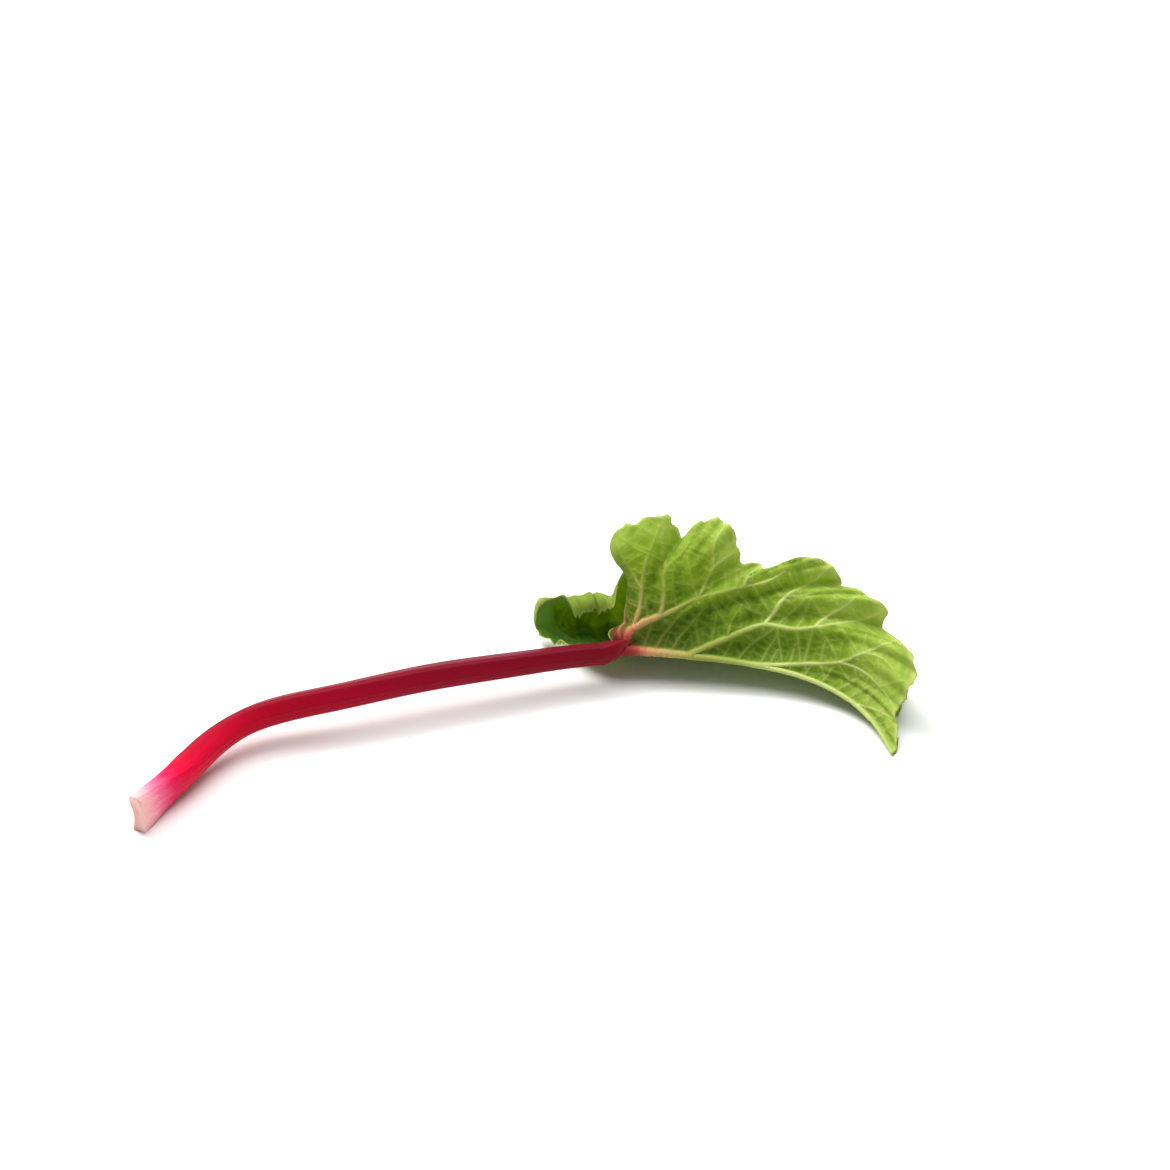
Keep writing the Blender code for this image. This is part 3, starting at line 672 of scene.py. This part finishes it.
def flat_mesh(main, branches, net):
    """The flat blade as points and triangles, close along its veins."""
    outline = blade_outline()
    crease = [(u, 0.0) for u in np.arange(VEIN_STEP - HUB_RADIUS, LEAF_LENGTH - CLEAR_OF_EDGE, VEIN_STEP)]
    rows = [
        rows_beside(main, *MAIN_ROWS),
        rows_beside(branches, *BRANCH_ROWS),
        rows_beside(net, *NET_ROWS),
        field_points(outline),
    ]
    inner = np.concatenate(rows)
    share = np.hypot(inner[:, 0], inner[:, 1]) / reach_of(inner)
    inner = inner[(share < 1) & (np.abs(inner[:, 1]) > CLEAR_OF_CREASE)]
    inner = inner[near_edge(inner, outline) > CLEAR_OF_EDGE]
    points = np.concatenate([outline, np.array(crease), thinned(inner, CROWDED)])
    count = len(outline)
    tip = int(np.argmax(outline[:, 0]))
    chain = [0] + list(range(count, count + len(crease))) + [tip]
    edges = list(zip(chain[:-1], chain[1:]))
    loop = [list(range(count))]
    result = delaunay_2d_cdt([Vector(map(float, p)) for p in points], edges, loop, 1, 1e-5)
    points = np.array([tuple(p) for p in result[0]])
    faces = np.array([f for f in result[2]])
    a, b, c = (points[faces[:, k]] for k in range(3))
    turned = (b - a)[:, 0] * (c - a)[:, 1] - (b - a)[:, 1] * (c - a)[:, 0] < 0
    faces[turned] = faces[turned][:, ::-1]
    return points, faces


def near_edge(points, outline):
    """Each flat point's distance to the nearest point of the outline."""
    tree = point_tree(outline)
    return np.array([tree.find((u, v, 0))[2] for u, v in points])


# ---------------------------------------------------------------- the folded leaf


def lean_profile(angles, distance):
    """How far back and up the upper half has come at a distance from the midrib."""
    at = np.linspace(0, LEAN_AT[-1], LEAN_STEPS)
    lean = np.radians(eased(LEAN_AT, angles, at))
    step = at[1] - at[0]
    back = np.concatenate([[0], np.cumsum((np.cos(lean[1:]) + np.cos(lean[:-1])) * step / 2)])
    up = np.concatenate([[0], np.cumsum((np.sin(lean[1:]) + np.sin(lean[:-1])) * step / 2)])
    return np.interp(distance, at, back), np.interp(distance, at, up), np.interp(distance, at, lean)


def upper_profile(u, distance):
    """Back, up and lean of the upper half."""
    t = eased((0, LEAF_LENGTH), (0, 1), u)
    root = lean_profile(LEAN_AT_ROOT, distance)
    tip = lean_profile(LEAN_AT_TIP, distance)
    return [(1 - t) * a + t * b for a, b in zip(root, tip)]


def lower_profile(height, distance, share, angle):
    """Back, up and slope of the lower half, which lands on the table and lifts at its edge."""
    landing = BLADE_THICKNESS / 2 + RIB_ROOM * np.clip(1 - share / RIB_ROOM_SHARE, 0, 1) ** 2
    drop = np.maximum(height - landing, LEAST_DROP)
    run = 2 * drop / SLOPE_AT_MIDRIB
    t = np.clip(distance / run, 0, 1)
    down = drop * (1 - (1 - t) ** 2)
    lift = EDGE_LIFT * np.clip((share - LIFT_FROM) / (1 - LIFT_FROM), 0, MOST_LIFTED) ** 2
    lift = lift * eased((0, LIFT_CLEAR), (0, 1), distance) * eased(NEAR_LOBE_FROM, NEAR_LOBE_LIFT, angle)
    slope = SLOPE_AT_MIDRIB * (1 - t)
    shortened = run * (t - SLOPE_AT_MIDRIB**2 * (1 - (1 - t) ** 3) / 6)
    back = shortened + np.maximum(distance - run, 0) - lift**2 / LIFT_SHORTENS
    return back, lift - down, -np.arcsin(slope)


def read_table(table, row, column):
    """The table's values between its rows and columns."""
    i = np.clip(row.astype(int), 0, table.shape[0] - 2)
    j = np.clip(column.astype(int), 0, table.shape[1] - 2)
    down, right = row - i, column - j
    above = table[i, j] * (1 - right) + table[i, j + 1] * right
    below = table[i + 1, j] * (1 - right) + table[i + 1, j + 1] * right
    return above * (1 - down) + below * down


def curl_profile(share, angle, wave):
    """How far the rear lobe's curl moves each point outwards and up, as shares of its reach."""
    at = np.linspace(0, MOST_SHARE, PROFILE_STEPS)
    step = at[1]
    strengths = np.linspace(0, CURL_MORE, CURL_LEVELS)
    bends = np.radians(eased(CURL_AT, CURL, at)) * strengths[:, None]
    outwards = np.cumsum(np.cos(bends), 1) * step - at
    up = np.cumsum(np.sin(bends), 1) * step
    waved = 1 + (CURL_MORE - 1) * np.clip(-wave / CURL_WAVE, 0, 1)
    row = eased(CURL_BETWEEN, CURL_STRENGTH, angle) * waved / strengths[1]
    return read_table(outwards, row, share / step), read_table(up, row, share / step)


def ruffle_at(angle, upper, share):
    """How far the margin's small ruffles push each point, growing towards the margin."""
    draw = random.Random(RUFFLE_SEED)
    turns = np.arange(0, 180.1, 0.5)
    push = np.zeros(len(angle))
    for half in (True, False):
        reach = edge_at(turns, half)[0]
        edge = reach[:, None] * np.stack([np.cos(np.radians(turns)), np.sin(np.radians(turns))], 1)
        along = lengths_along(edge)
        at = np.interp(angle, turns, along)
        total = sum(np.cos(math.tau * at / wave + draw.uniform(0, math.tau)) for wave in RUFFLE_WAVES)
        reaching = np.clip((np.interp(angle, turns, reach) - HUB_RADIUS) / RUFFLE_FULL, 0, 1)
        push = np.where(upper == half, total * reaching, push)
    return RUFFLE * push * share**RUFFLE_POWER


def leaf_surface(points, quilt):
    """Places in space of the flat points (u, v), with the quilting between the veins."""
    u, v = points[:, 0], points[:, 1]
    upper = v >= 0
    distance = np.abs(v)
    angle = np.degrees(np.arctan2(distance, u))
    up_reach, up_wave = edge_at(angle, True)
    low_reach, low_wave = edge_at(angle, False)
    share = np.clip(np.hypot(u, v) / np.where(upper, up_reach, low_reach), 0, MOST_SHARE)
    wave = np.where(upper, up_wave, low_wave) * share**WAVE_POWER

    # The back of the upper half rolls inwards, and that of the lower half runs straight on.
    rolled = upper * eased(ROLL_FADE, (0, 1), distance)
    roll_from = rolled * eased(ROLL_AT, ROLL_FROM, distance)
    rolled_length = np.maximum(roll_from - u, 0)
    roll = np.minimum(rolled_length / ROLL_RADIUS * rolled, MOST_ROLL) + 1e-9
    along = np.where(rolled_length > 0, roll_from - rolled_length * np.sin(roll) / roll, u)
    inward = rolled_length * (1 - np.cos(roll)) / roll

    place, heading, back, upright = frame_at(JUNCTION_LENGTH + np.maximum(along, 0))
    place = place + np.minimum(along, 0)[:, None] * heading
    up_back, up_up, lean = upper_profile(u, distance)
    low_back, low_up, slope = lower_profile(place[:, 2], distance, share, angle)
    curl_out, curl_up = curl_profile(share, angle, low_wave)
    curl_out, curl_up = curl_out * low_reach, curl_up * low_reach
    swung = np.where(upper, 0, curl_out * np.cos(np.radians(angle)))
    place = place + swung[:, None] * heading
    low_back = low_back + curl_out * np.sin(np.radians(angle))
    low_up = low_up + curl_up

    # The underside faces up and forward on the upper half, and down on the lower half.
    out_back = np.where(upper, -np.sin(lean), np.sin(slope))
    out_up = np.where(upper, np.cos(lean), -np.cos(slope))
    push = wave + ruffle_at(angle, upper, share) - quilt - inward
    across = np.where(upper, up_back, low_back) + out_back * push
    height = np.where(upper, up_up, low_up) + out_up * push
    surface = place + across[:, None] * back + height[:, None] * upright
    surface[:, 2] = np.maximum(surface[:, 2], BLADE_THICKNESS / 2)
    return surface


def offset_directions(points, faces):
    """Normals at the points, lengthened where the sheet creases so that its thickness holds there."""
    corners = points[faces]
    normals = unit(np.cross(corners[:, 1] - corners[:, 0], corners[:, 2] - corners[:, 0]) + 1e-15)
    total = np.zeros_like(points)
    angles = np.zeros((len(faces), 3))
    for k in range(3):
        ahead = unit(corners[:, (k + 1) % 3] - corners[:, k])
        behind = unit(corners[:, (k + 2) % 3] - corners[:, k])
        angles[:, k] = np.arccos(np.clip(np.sum(ahead * behind, 1), -1, 1))
        np.add.at(total, faces[:, k], normals * angles[:, k, None])
    mean = unit(total)
    lean = np.zeros(len(points))
    weight = np.zeros(len(points))
    for k in range(3):
        np.add.at(lean, faces[:, k], np.sum(mean[faces[:, k]] * normals, 1) * angles[:, k])
        np.add.at(weight, faces[:, k], angles[:, k])
    return mean / np.clip(lean / weight, LEAST_LEAN, 1)[:, None]


def rib(distance, radius):
    """The height of a rounded rib with soft feet, at a distance from its line."""
    return RIB_RISE * radius * np.clip(1 - (distance / (RIB_SPREAD * radius)) ** 2, 0, 1) ** 1.5


def bulge(distance, height, width):
    """A swelling that is nothing on a line and levels off away from it."""
    return height * (1 - np.exp(-((distance / width) ** 2)))


def grown_veins():
    """The main veins, the branches that leave them, and the net between those."""
    draw = random.Random(VEIN_SEED)
    main = main_veins()
    known = VeinMap()
    for owner, (line, _) in enumerate(main):
        known.add(line, owner)
    branches = grow(main, BRANCH, known, draw)
    net = grow(main + branches, NET, known, draw)
    return main, branches, net


def quilting(gaps, share):
    """How far the blade swells between its veins, from the distances to the three kinds of vein."""
    main_gap, branch_gap, net_gap = gaps
    inside = 1 - share**6
    quilt = bulge(main_gap, QUILT_HEIGHT, QUILT_WIDTH) * inside
    quilt += bulge(np.minimum(main_gap, branch_gap), *BRANCH_QUILT) * inside
    quilt += bulge(np.minimum(np.minimum(main_gap, branch_gap), net_gap), *NET_QUILT) * inside
    return quilt


def leaf_marks(points, share, gaps, radii):
    """What the leaf's material reads: where the veins, the hollows between them and the hub are, and how
    much painted shade the hollows get.
    """
    main_gap, branch_gap, net_gap = gaps
    main_radius, branch_radius, net_radius = radii
    main_mark = np.clip(1.25 - main_gap / (1.5 * main_radius), 0, 1)
    branch_mark = np.clip(1.2 - branch_gap / (2.6 * branch_radius), 0, 1) * 0.42
    net_mark = np.clip(1.15 - net_gap / (3.2 * net_radius), 0, 1) * 0.16
    beside = np.exp(-np.minimum(branch_gap / 2.2, net_gap / 1.5) ** 2)
    from_hub = np.hypot(points[:, 0], points[:, 1])
    behind = np.clip(1 - points[:, 0] / 5, 0, 1)
    flush = np.exp(-((from_hub / 8) ** 2)) + behind * np.exp(-((from_hub / 20) ** 2))
    return {
        "vein": np.maximum(np.maximum(main_mark, branch_mark), net_mark),
        "stout": main_mark * np.clip(main_radius / 2.2, 0, 1),
        "share": share,
        # painted shade in the hollows between the main veins, less beside the smaller veins
        "valley": np.clip(main_gap / 6 - 0.1, 0, 1) * (1 - 0.6 * beside),
        "from_hub": from_hub,
        "flush": np.clip(flush, 0, 1),
    }


def make_leaf():
    """The blade with its veins raised underneath and sunk on top, as one closed sheet."""
    veins = grown_veins()
    points, faces = flat_mesh(*veins)
    count = len(points)
    share = np.clip(np.hypot(points[:, 0], points[:, 1]) / reach_of(points), 0, 1)
    gaps, radii = zip(*(near_veins(points, kind) for kind in veins))
    middle = leaf_surface(points, quilting(gaps, share))
    outward = offset_directions(middle, faces)
    ribs = np.max([rib(gap, radius) for gap, radius in zip(gaps, radii)], 0)
    half = (EDGE_THICKNESS + (BLADE_THICKNESS - EDGE_THICKNESS) * (1 - share**10)) / 2
    under = middle + outward * half[:, None] + unit(outward) * ribs[:, None]
    over = middle - outward * half[:, None]
    under[:, 2] = np.maximum(under[:, 2], 0)
    over[:, 2] = np.maximum(over[:, 2], 2 * half)
    made = mesh_object("leaf_blade", np.concatenate([under, over]), sheet_faces(faces, count))
    for name, values in leaf_marks(points, share, gaps, radii).items():
        put_attribute(made, name, np.concatenate([values, values]))
    put_attribute(made, "under", np.concatenate([np.ones(count), np.zeros(count)]))
    put_flat_map(made, np.concatenate([points, points]))
    return made


def sheet_faces(faces, count):
    """Both sides of the sheet, and the narrow band round its edge."""
    both = [tuple(f) for f in faces] + [tuple(f[::-1] + count) for f in faces]
    sides = set()
    for f in faces:
        sides.update(((f[0], f[1]), (f[1], f[2]), (f[2], f[0])))
    for a, b in sides:
        if (b, a) not in sides:
            both += [(b, a, a + count), (b, a + count, b + count)]
    return both


# ---------------------------------------------------------------- Blender objects


def where_it_stands():
    """The junction's place, from the frame's box of the stalk and the foot of the same shape."""
    foot = np.concatenate([section(length, 36)[0] for length in np.linspace(0, 20, 5)])
    low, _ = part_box("stalk")
    return np.array([low[0] / MM - foot[:, 0].min(), low[1] / MM - foot[:, 1].min(), 0.0])


STANDS = where_it_stands()


def mesh_object(name, vertices, faces):
    """A smooth mesh object from vertices in millimetres round the junction."""
    mesh = bpy.data.meshes.new(name)
    placed = (vertices + STANDS) * MM
    mesh.from_pydata(placed.tolist(), [], [tuple(int(i) for i in f) for f in faces])
    mesh.validate()
    mesh.shade_smooth()
    made = bpy.data.objects.new(name, mesh)
    bpy.context.scene.collection.objects.link(made)
    return made


def put_attribute(piece, name, values):
    layer = piece.data.attributes.new(name, "FLOAT", "POINT")
    layer.data.foreach_set("value", np.asarray(values, np.float32))


def put_flat_map(piece, points):
    """The leaf's flat places as a map, in centimetres."""
    mesh = piece.data
    corners = np.empty(len(mesh.loops), np.int32)
    mesh.loops.foreach_get("vertex_index", corners)
    layer = mesh.uv_layers.new(name="flat")
    layer.data.foreach_set("uv", (points[corners] / 10).astype(np.float32).ravel())


class Shader:
    """Builds a material's nodes with short calls."""

    def __init__(self, name):
        self.material = bpy.data.materials.new(name)
        self.material.use_nodes = True
        self.tree = self.material.node_tree
        self.principled = self.tree.nodes["Principled BSDF"]
        self.output = self.tree.nodes["Material Output"]

    def node(self, kind, settings=(), **inputs):
        """A node with its settings and its inputs, each a value or another node's output."""
        made = self.tree.nodes.new(kind)
        for name, value in dict(settings).items():
            setattr(made, name, value)
        for name, value in inputs.items():
            self.feed(made, name.replace("_", " "), value)
        return made

    def feed(self, node, name, value):
        """Links another node's output to a node's input, or sets the input to a plain value."""
        socket = node.inputs[name]
        if isinstance(value, bpy.types.NodeSocket):
            self.tree.links.new(value, socket)
        else:
            socket.default_value = value

    def attribute(self, name):
        return self.node("ShaderNodeAttribute", {"attribute_name": name}).outputs["Fac"]

    def noise(self, vector, **inputs):
        return self.node("ShaderNodeTexNoise", {}, Vector=vector, **inputs).outputs["Fac"]

    def cell_edges(self, vector, scale):
        """The distance to the edges of a net of cells."""
        settings = {"feature": "DISTANCE_TO_EDGE"}
        return self.node("ShaderNodeTexVoronoi", settings, Vector=vector, Scale=scale).outputs["Distance"]

    def math(self, operation, a, b=0.0, clamp=False):
        made = self.node("ShaderNodeMath", {"operation": operation, "use_clamp": clamp})
        self.feed(made, 0, a)
        self.feed(made, 1, b)
        return made.outputs[0]

    def ramp(self, factor, stops):
        """Colours (or grey numbers) at places along the factor."""
        made = self.tree.nodes.new("ShaderNodeValToRGB")
        elements = made.color_ramp.elements
        while len(elements) < len(stops):
            elements.new(0.5)
        for element, (at, colour) in zip(elements, stops):
            element.position = at
            element.color = rgba(colour)
        self.tree.links.new(factor, made.inputs["Fac"])
        return made.outputs["Color"]

    def mix(self, factor, a, b, blend="MIX"):
        """Two colours mixed by a factor. The colours of a Mix node are its inputs 6 and 7."""
        made = self.node("ShaderNodeMix", {"data_type": "RGBA", "blend_type": blend})
        self.feed(made, 0, factor)
        self.feed(made, 6, rgba(a) if isinstance(a, tuple) else a)
        self.feed(made, 7, rgba(b) if isinstance(b, tuple) else b)
        return made.outputs[2]


def rgba(colour):
    """A colour given as 0-255 screen values, or as one grey number from 0 to 1, made linear."""
    if isinstance(colour, (int, float)):
        return (colour, colour, colour, 1)
    linear = [((c / 255 + 0.055) / 1.055) ** 2.4 if c > 10 else c / 255 / 12.92 for c in colour]
    return (*linear, 1)


# ---------------------------------------------------------------- materials

# The skin's colour at shares of SKIN_LENGTH from the foot.
SKIN_LENGTH = 360.0
SKIN = [
    (0.0, (252, 192, 188)),
    (0.022, (248, 166, 178)),
    (0.045, (242, 108, 146)),
    (0.074, (230, 36, 92)),
    (0.102, (222, 8, 56)),
    (0.18, (204, 3, 46)),
    (0.34, (174, 4, 38)),
    (0.6, (146, 4, 36)),
    (0.85, (130, 8, 34)),
    (0.955, (122, 14, 26)),
    (0.985, (150, 44, 42)),
]
TORN_END = (250, 200, 192)
# Painted shade laid on the stalk's grooved side, which is turned up and back towards the lights.
GROOVED_SIDE_SHADE = (84, 0, 26)
# The veins' colour underneath at shares of VEIN_RUN from the hub. The olive dip from half to three quarters
# is partly the veins' own olive and partly painted shade of the fold over the midrib.
VEIN_RUN = 100.0
VEIN_UNDER = [
    (0.06, (140, 40, 42)),
    (0.11, (164, 68, 58)),
    (0.18, (200, 146, 100)),
    (0.36, (182, 168, 98)),
    (0.5, (156, 162, 74)),
    (0.75, (164, 178, 90)),
    (1.0, (212, 224, 138)),
]
VEIN_OVER = [(0.1, (150, 70, 50)), (0.4, (120, 158, 70))]
UNDER_GREEN = [(0.15, (90, 120, 10)), (0.5, (120, 154, 20)), (0.75, (147, 179, 44)), (0.95, (181, 209, 86))]
OVER_GREEN = [(0.3, (18, 50, 8)), (0.55, (32, 72, 10)), (0.75, (52, 96, 14))]
RIM = (212, 222, 126)


def skin_noises(s, along, around):
    """Broad streaks and fine stripes, both drawn out along the stalk."""
    stretched = s.node("ShaderNodeCombineXYZ", X=s.math("MULTIPLY", along, 0.012), Y=around)
    streaks = s.noise(stretched.outputs[0], Scale=5.0, Detail=6.0, Roughness=0.65)
    wound = s.math("MULTIPLY", around, 9.0)
    fine = s.node("ShaderNodeCombineXYZ", X=s.math("MULTIPLY", along, 0.05), Y=wound)
    return streaks, s.noise(fine.outputs[0], Scale=4.0, Detail=4.0)


def stalk_material():
    """Crimson skin, pale at the foot and browner towards the leaf, with fine stripes along it and painted
    shade on its grooved side.
    """
    s = Shader("rhubarb_skin")
    along = s.attribute("along")
    streaks, stripes = skin_noises(s, along, s.attribute("around"))
    wander = s.math("MULTIPLY", s.math("SUBTRACT", streaks, 0.5), 17.0)
    place = s.math("DIVIDE", s.math("ADD", along, wander), SKIN_LENGTH, clamp=True)
    skin = s.ramp(place, SKIN)
    # Painted shade on the grooved side, which is turned up and back, growing in from near the foot.
    groove_shade_share = s.ramp(place, [(0.05, 0.0), (0.16, 0.6)])
    skin = s.mix(s.math("MULTIPLY", s.attribute("groove"), groove_shade_share), skin, GROOVED_SIDE_SHADE)
    darker = s.mix(0.5, skin, (120, 6, 30), "MULTIPLY")
    toned = s.mix(s.ramp(stripes, [(0.45, 0.0), (0.75, 0.28)]), skin, darker)
    end = s.math("LESS_THAN", along, END_MARK / 3)
    s.feed(s.principled, "Base Color", s.mix(end, toned, TORN_END))
    rough = s.math("ADD", s.math("MULTIPLY", stripes, 0.2), 0.38)
    s.feed(s.principled, "Roughness", rough)
    s.principled.inputs["Specular IOR Level"].default_value = 0.08
    s.principled.inputs["Subsurface Weight"].default_value = 0.2
    s.principled.inputs["Subsurface Radius"].default_value = (0.004, 0.001, 0.001)
    height = s.math("ADD", s.math("MULTIPLY", stripes, 0.7), s.math("MULTIPLY", streaks, 0.3))
    bump = s.node("ShaderNodeBump", {}, Strength=0.25, Distance=0.0004, Height=height)
    s.feed(s.principled, "Normal", bump.outputs["Normal"])
    return s.material


def underside(s, blotches, web, valley_shade):
    """The pale underside: yellower outwards, with painted shade in the valleys between the veins, flushed
    red at the hub.
    """
    share, from_hub = s.attribute("share"), s.attribute("from_hub")
    outwards = s.math("ADD", share, s.math("MULTIPLY", s.math("SUBTRACT", blotches, 0.5), 0.5))
    # Painted shade: a darker green laid in the valleys between the veins.
    valley_shade_green = s.mix(share, (30, 56, 2), (70, 104, 8))
    green = s.mix(valley_shade, s.ramp(outwards, UNDER_GREEN), valley_shade_green)
    green = s.mix(s.math("MULTIPLY", web, 0.2), green, (168, 192, 80))
    green = s.mix(s.math("MULTIPLY", s.attribute("flush"), 0.9), green, (112, 26, 34))
    rib = s.ramp(s.math("DIVIDE", from_hub, VEIN_RUN, clamp=True), VEIN_UNDER)
    return s.mix(s.attribute("vein"), green, rib)


def upper_side(s, blotches, web):
    """The dark upper side, with a paler web and pale veins."""
    green = s.mix(s.math("MULTIPLY", web, 0.25), s.ramp(blotches, OVER_GREEN), (70, 112, 40))
    rib = s.ramp(s.math("DIVIDE", s.attribute("from_hub"), VEIN_RUN, clamp=True), VEIN_OVER)
    return s.mix(s.math("MULTIPLY", s.attribute("vein"), 0.6), green, rib)


def let_light_through(s, bump, valley_shade):
    """Mixes in a translucent share, less on the stout veins."""
    stout = s.attribute("stout")
    # The light let through is darker in the valleys too: painted shade.
    glow = s.mix(valley_shade, (200, 226, 40), (116, 160, 10))
    glow = s.mix(stout, glow, (190, 180, 60))
    through = s.node("ShaderNodeBsdfTranslucent", {}, Color=glow)
    s.feed(through, "Normal", bump.outputs["Normal"])
    share_through = s.math("MULTIPLY", s.math("SUBTRACT", 1.0, s.math("MULTIPLY", stout, 0.9)), 0.42)
    both = s.node("ShaderNodeMixShader", {}, Fac=share_through)
    s.tree.links.new(s.principled.outputs[0], both.inputs[1])
    s.tree.links.new(through.outputs[0], both.inputs[2])
    s.tree.links.new(both.outputs[0], s.output.inputs["Surface"])


def leaf_material():
    """A blade that is dark and glossy on top, pale and matt underneath, and lets light through."""
    s = Shader("rhubarb_leaf")
    flat = s.node("ShaderNodeUVMap", {"uv_map": "flat"}).outputs["UV"]
    under, share = s.attribute("under"), s.attribute("share")
    blotches = s.noise(flat, Scale=0.55, Detail=5.0, Roughness=0.6)
    cells, tiny = s.cell_edges(flat, 7.5), s.cell_edges(flat, 19.0)
    web = s.ramp(cells, [(0.0, 1.0), (0.1, 0.0)])
    # Painted shade in the valleys between the veins, weaker towards the margin.
    valley_shade = s.math("MULTIPLY", s.attribute("valley"), s.ramp(share, [(0.4, 0.84), (0.85, 0.34)]))
    colour = s.mix(under, upper_side(s, blotches, web), underside(s, blotches, web, valley_shade))
    rim = s.ramp(share, [(0.97, 0.0), (0.99, 1.0)])
    colour = s.mix(s.math("MULTIPLY", rim, 0.75), colour, RIM)
    s.feed(s.principled, "Base Color", colour)
    rough = s.math("ADD", s.math("MULTIPLY", under, 0.2), s.math("MULTIPLY", blotches, 0.2))
    s.feed(s.principled, "Roughness", s.math("ADD", rough, 0.3))
    s.principled.inputs["Specular IOR Level"].default_value = 0.16
    height = s.math("ADD", s.math("MULTIPLY", s.ramp(cells, [(0.0, 0.0), (0.3, 1.0)]), 0.7), tiny)
    signed = s.math("MULTIPLY", height, s.math("SUBTRACT", 1.0, s.math("MULTIPLY", under, 1.6)))
    bump = s.node("ShaderNodeBump", {}, Strength=0.5, Distance=0.0004, Height=signed)
    s.feed(s.principled, "Normal", bump.outputs["Normal"])
    let_light_through(s, bump, valley_shade)
    return s.material


# ---------------------------------------------------------------- floor, light and camera


def make_floor():
    """A plain pale floor, wide enough to fill the picture."""
    mesh = bpy.data.meshes.new("floor")
    reach = 6.0
    corners = [(-reach, -reach, 0), (reach, -reach, 0), (reach, reach, 0), (-reach, reach, 0)]
    mesh.from_pydata(corners, [], [(0, 1, 2, 3)])
    floor = bpy.data.objects.new("floor", mesh)
    bpy.context.scene.collection.objects.link(floor)
    s = Shader("floor")
    s.principled.inputs["Base Color"].default_value = (0.86, 0.86, 0.85, 1)
    s.principled.inputs["Roughness"].default_value = 0.6
    s.principled.inputs["Specular IOR Level"].default_value = 0.2
    mesh.materials.append(s.material)


def add_light(name, place, target, size, watts, colour):
    """A round area light at a place in metres, facing its target."""
    data = bpy.data.lights.new(name, "AREA")
    data.shape = "DISK"
    data.size = size
    data.energy = watts
    data.color = colour
    light = bpy.data.objects.new(name, data)
    light.location = place
    light.rotation_euler = (Vector(target) - Vector(place)).to_track_quat("-Z", "Y").to_euler()
    bpy.context.scene.collection.objects.link(light)


def make_lights():
    """Soft studio light: a warm key from behind on the left, a broad overhead light and a pale world."""
    add_light("key", (-1.1, 1.1, 1.9), (0, 0, 0.03), size=1.4, watts=54, colour=(1.0, 0.985, 0.955))
    add_light("overhead", (0.2, 0.3, 2.6), (0, 0, 0), size=2.6, watts=78, colour=(1.0, 1.0, 1.0))
    world = bpy.data.worlds.new("studio")
    world.use_nodes = True
    background = world.node_tree.nodes["Background"]
    background.inputs["Color"].default_value = (1, 1, 1, 1)
    background.inputs["Strength"].default_value = 0.3
    bpy.context.scene.world = world


def make_camera():
    """A long lens that looks down on the stalk from in front."""
    data = bpy.data.cameras.new("camera")
    data.lens = LENS_MM
    data.sensor_width = SENSOR_MM
    camera = bpy.data.objects.new("camera", data)
    target = (np.array(LOOK_AT) + STANDS) * MM
    up = math.radians(ELEVATION)
    away = np.array([0.0, -math.cos(up), math.sin(up)]) * DISTANCE * MM
    camera.location = target + away
    camera.rotation_euler = (Vector(target) - camera.location).to_track_quat("-Z", "Y").to_euler()
    bpy.context.scene.collection.objects.link(camera)
    bpy.context.scene.camera = camera


def write_sizes():
    """Updates the view layer."""

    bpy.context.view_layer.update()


def main():
    stalk = make_stalk()
    stalk.data.materials.append(stalk_material())
    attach(stalk, "root")
    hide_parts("stalk")
    leaf = make_leaf()
    leaf.data.materials.append(leaf_material())
    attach(leaf, "root")
    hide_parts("leaf")
    make_floor()
    make_lights()
    make_camera()
    bpy.context.scene.view_settings.view_transform = "Standard"
    write_sizes()


main()
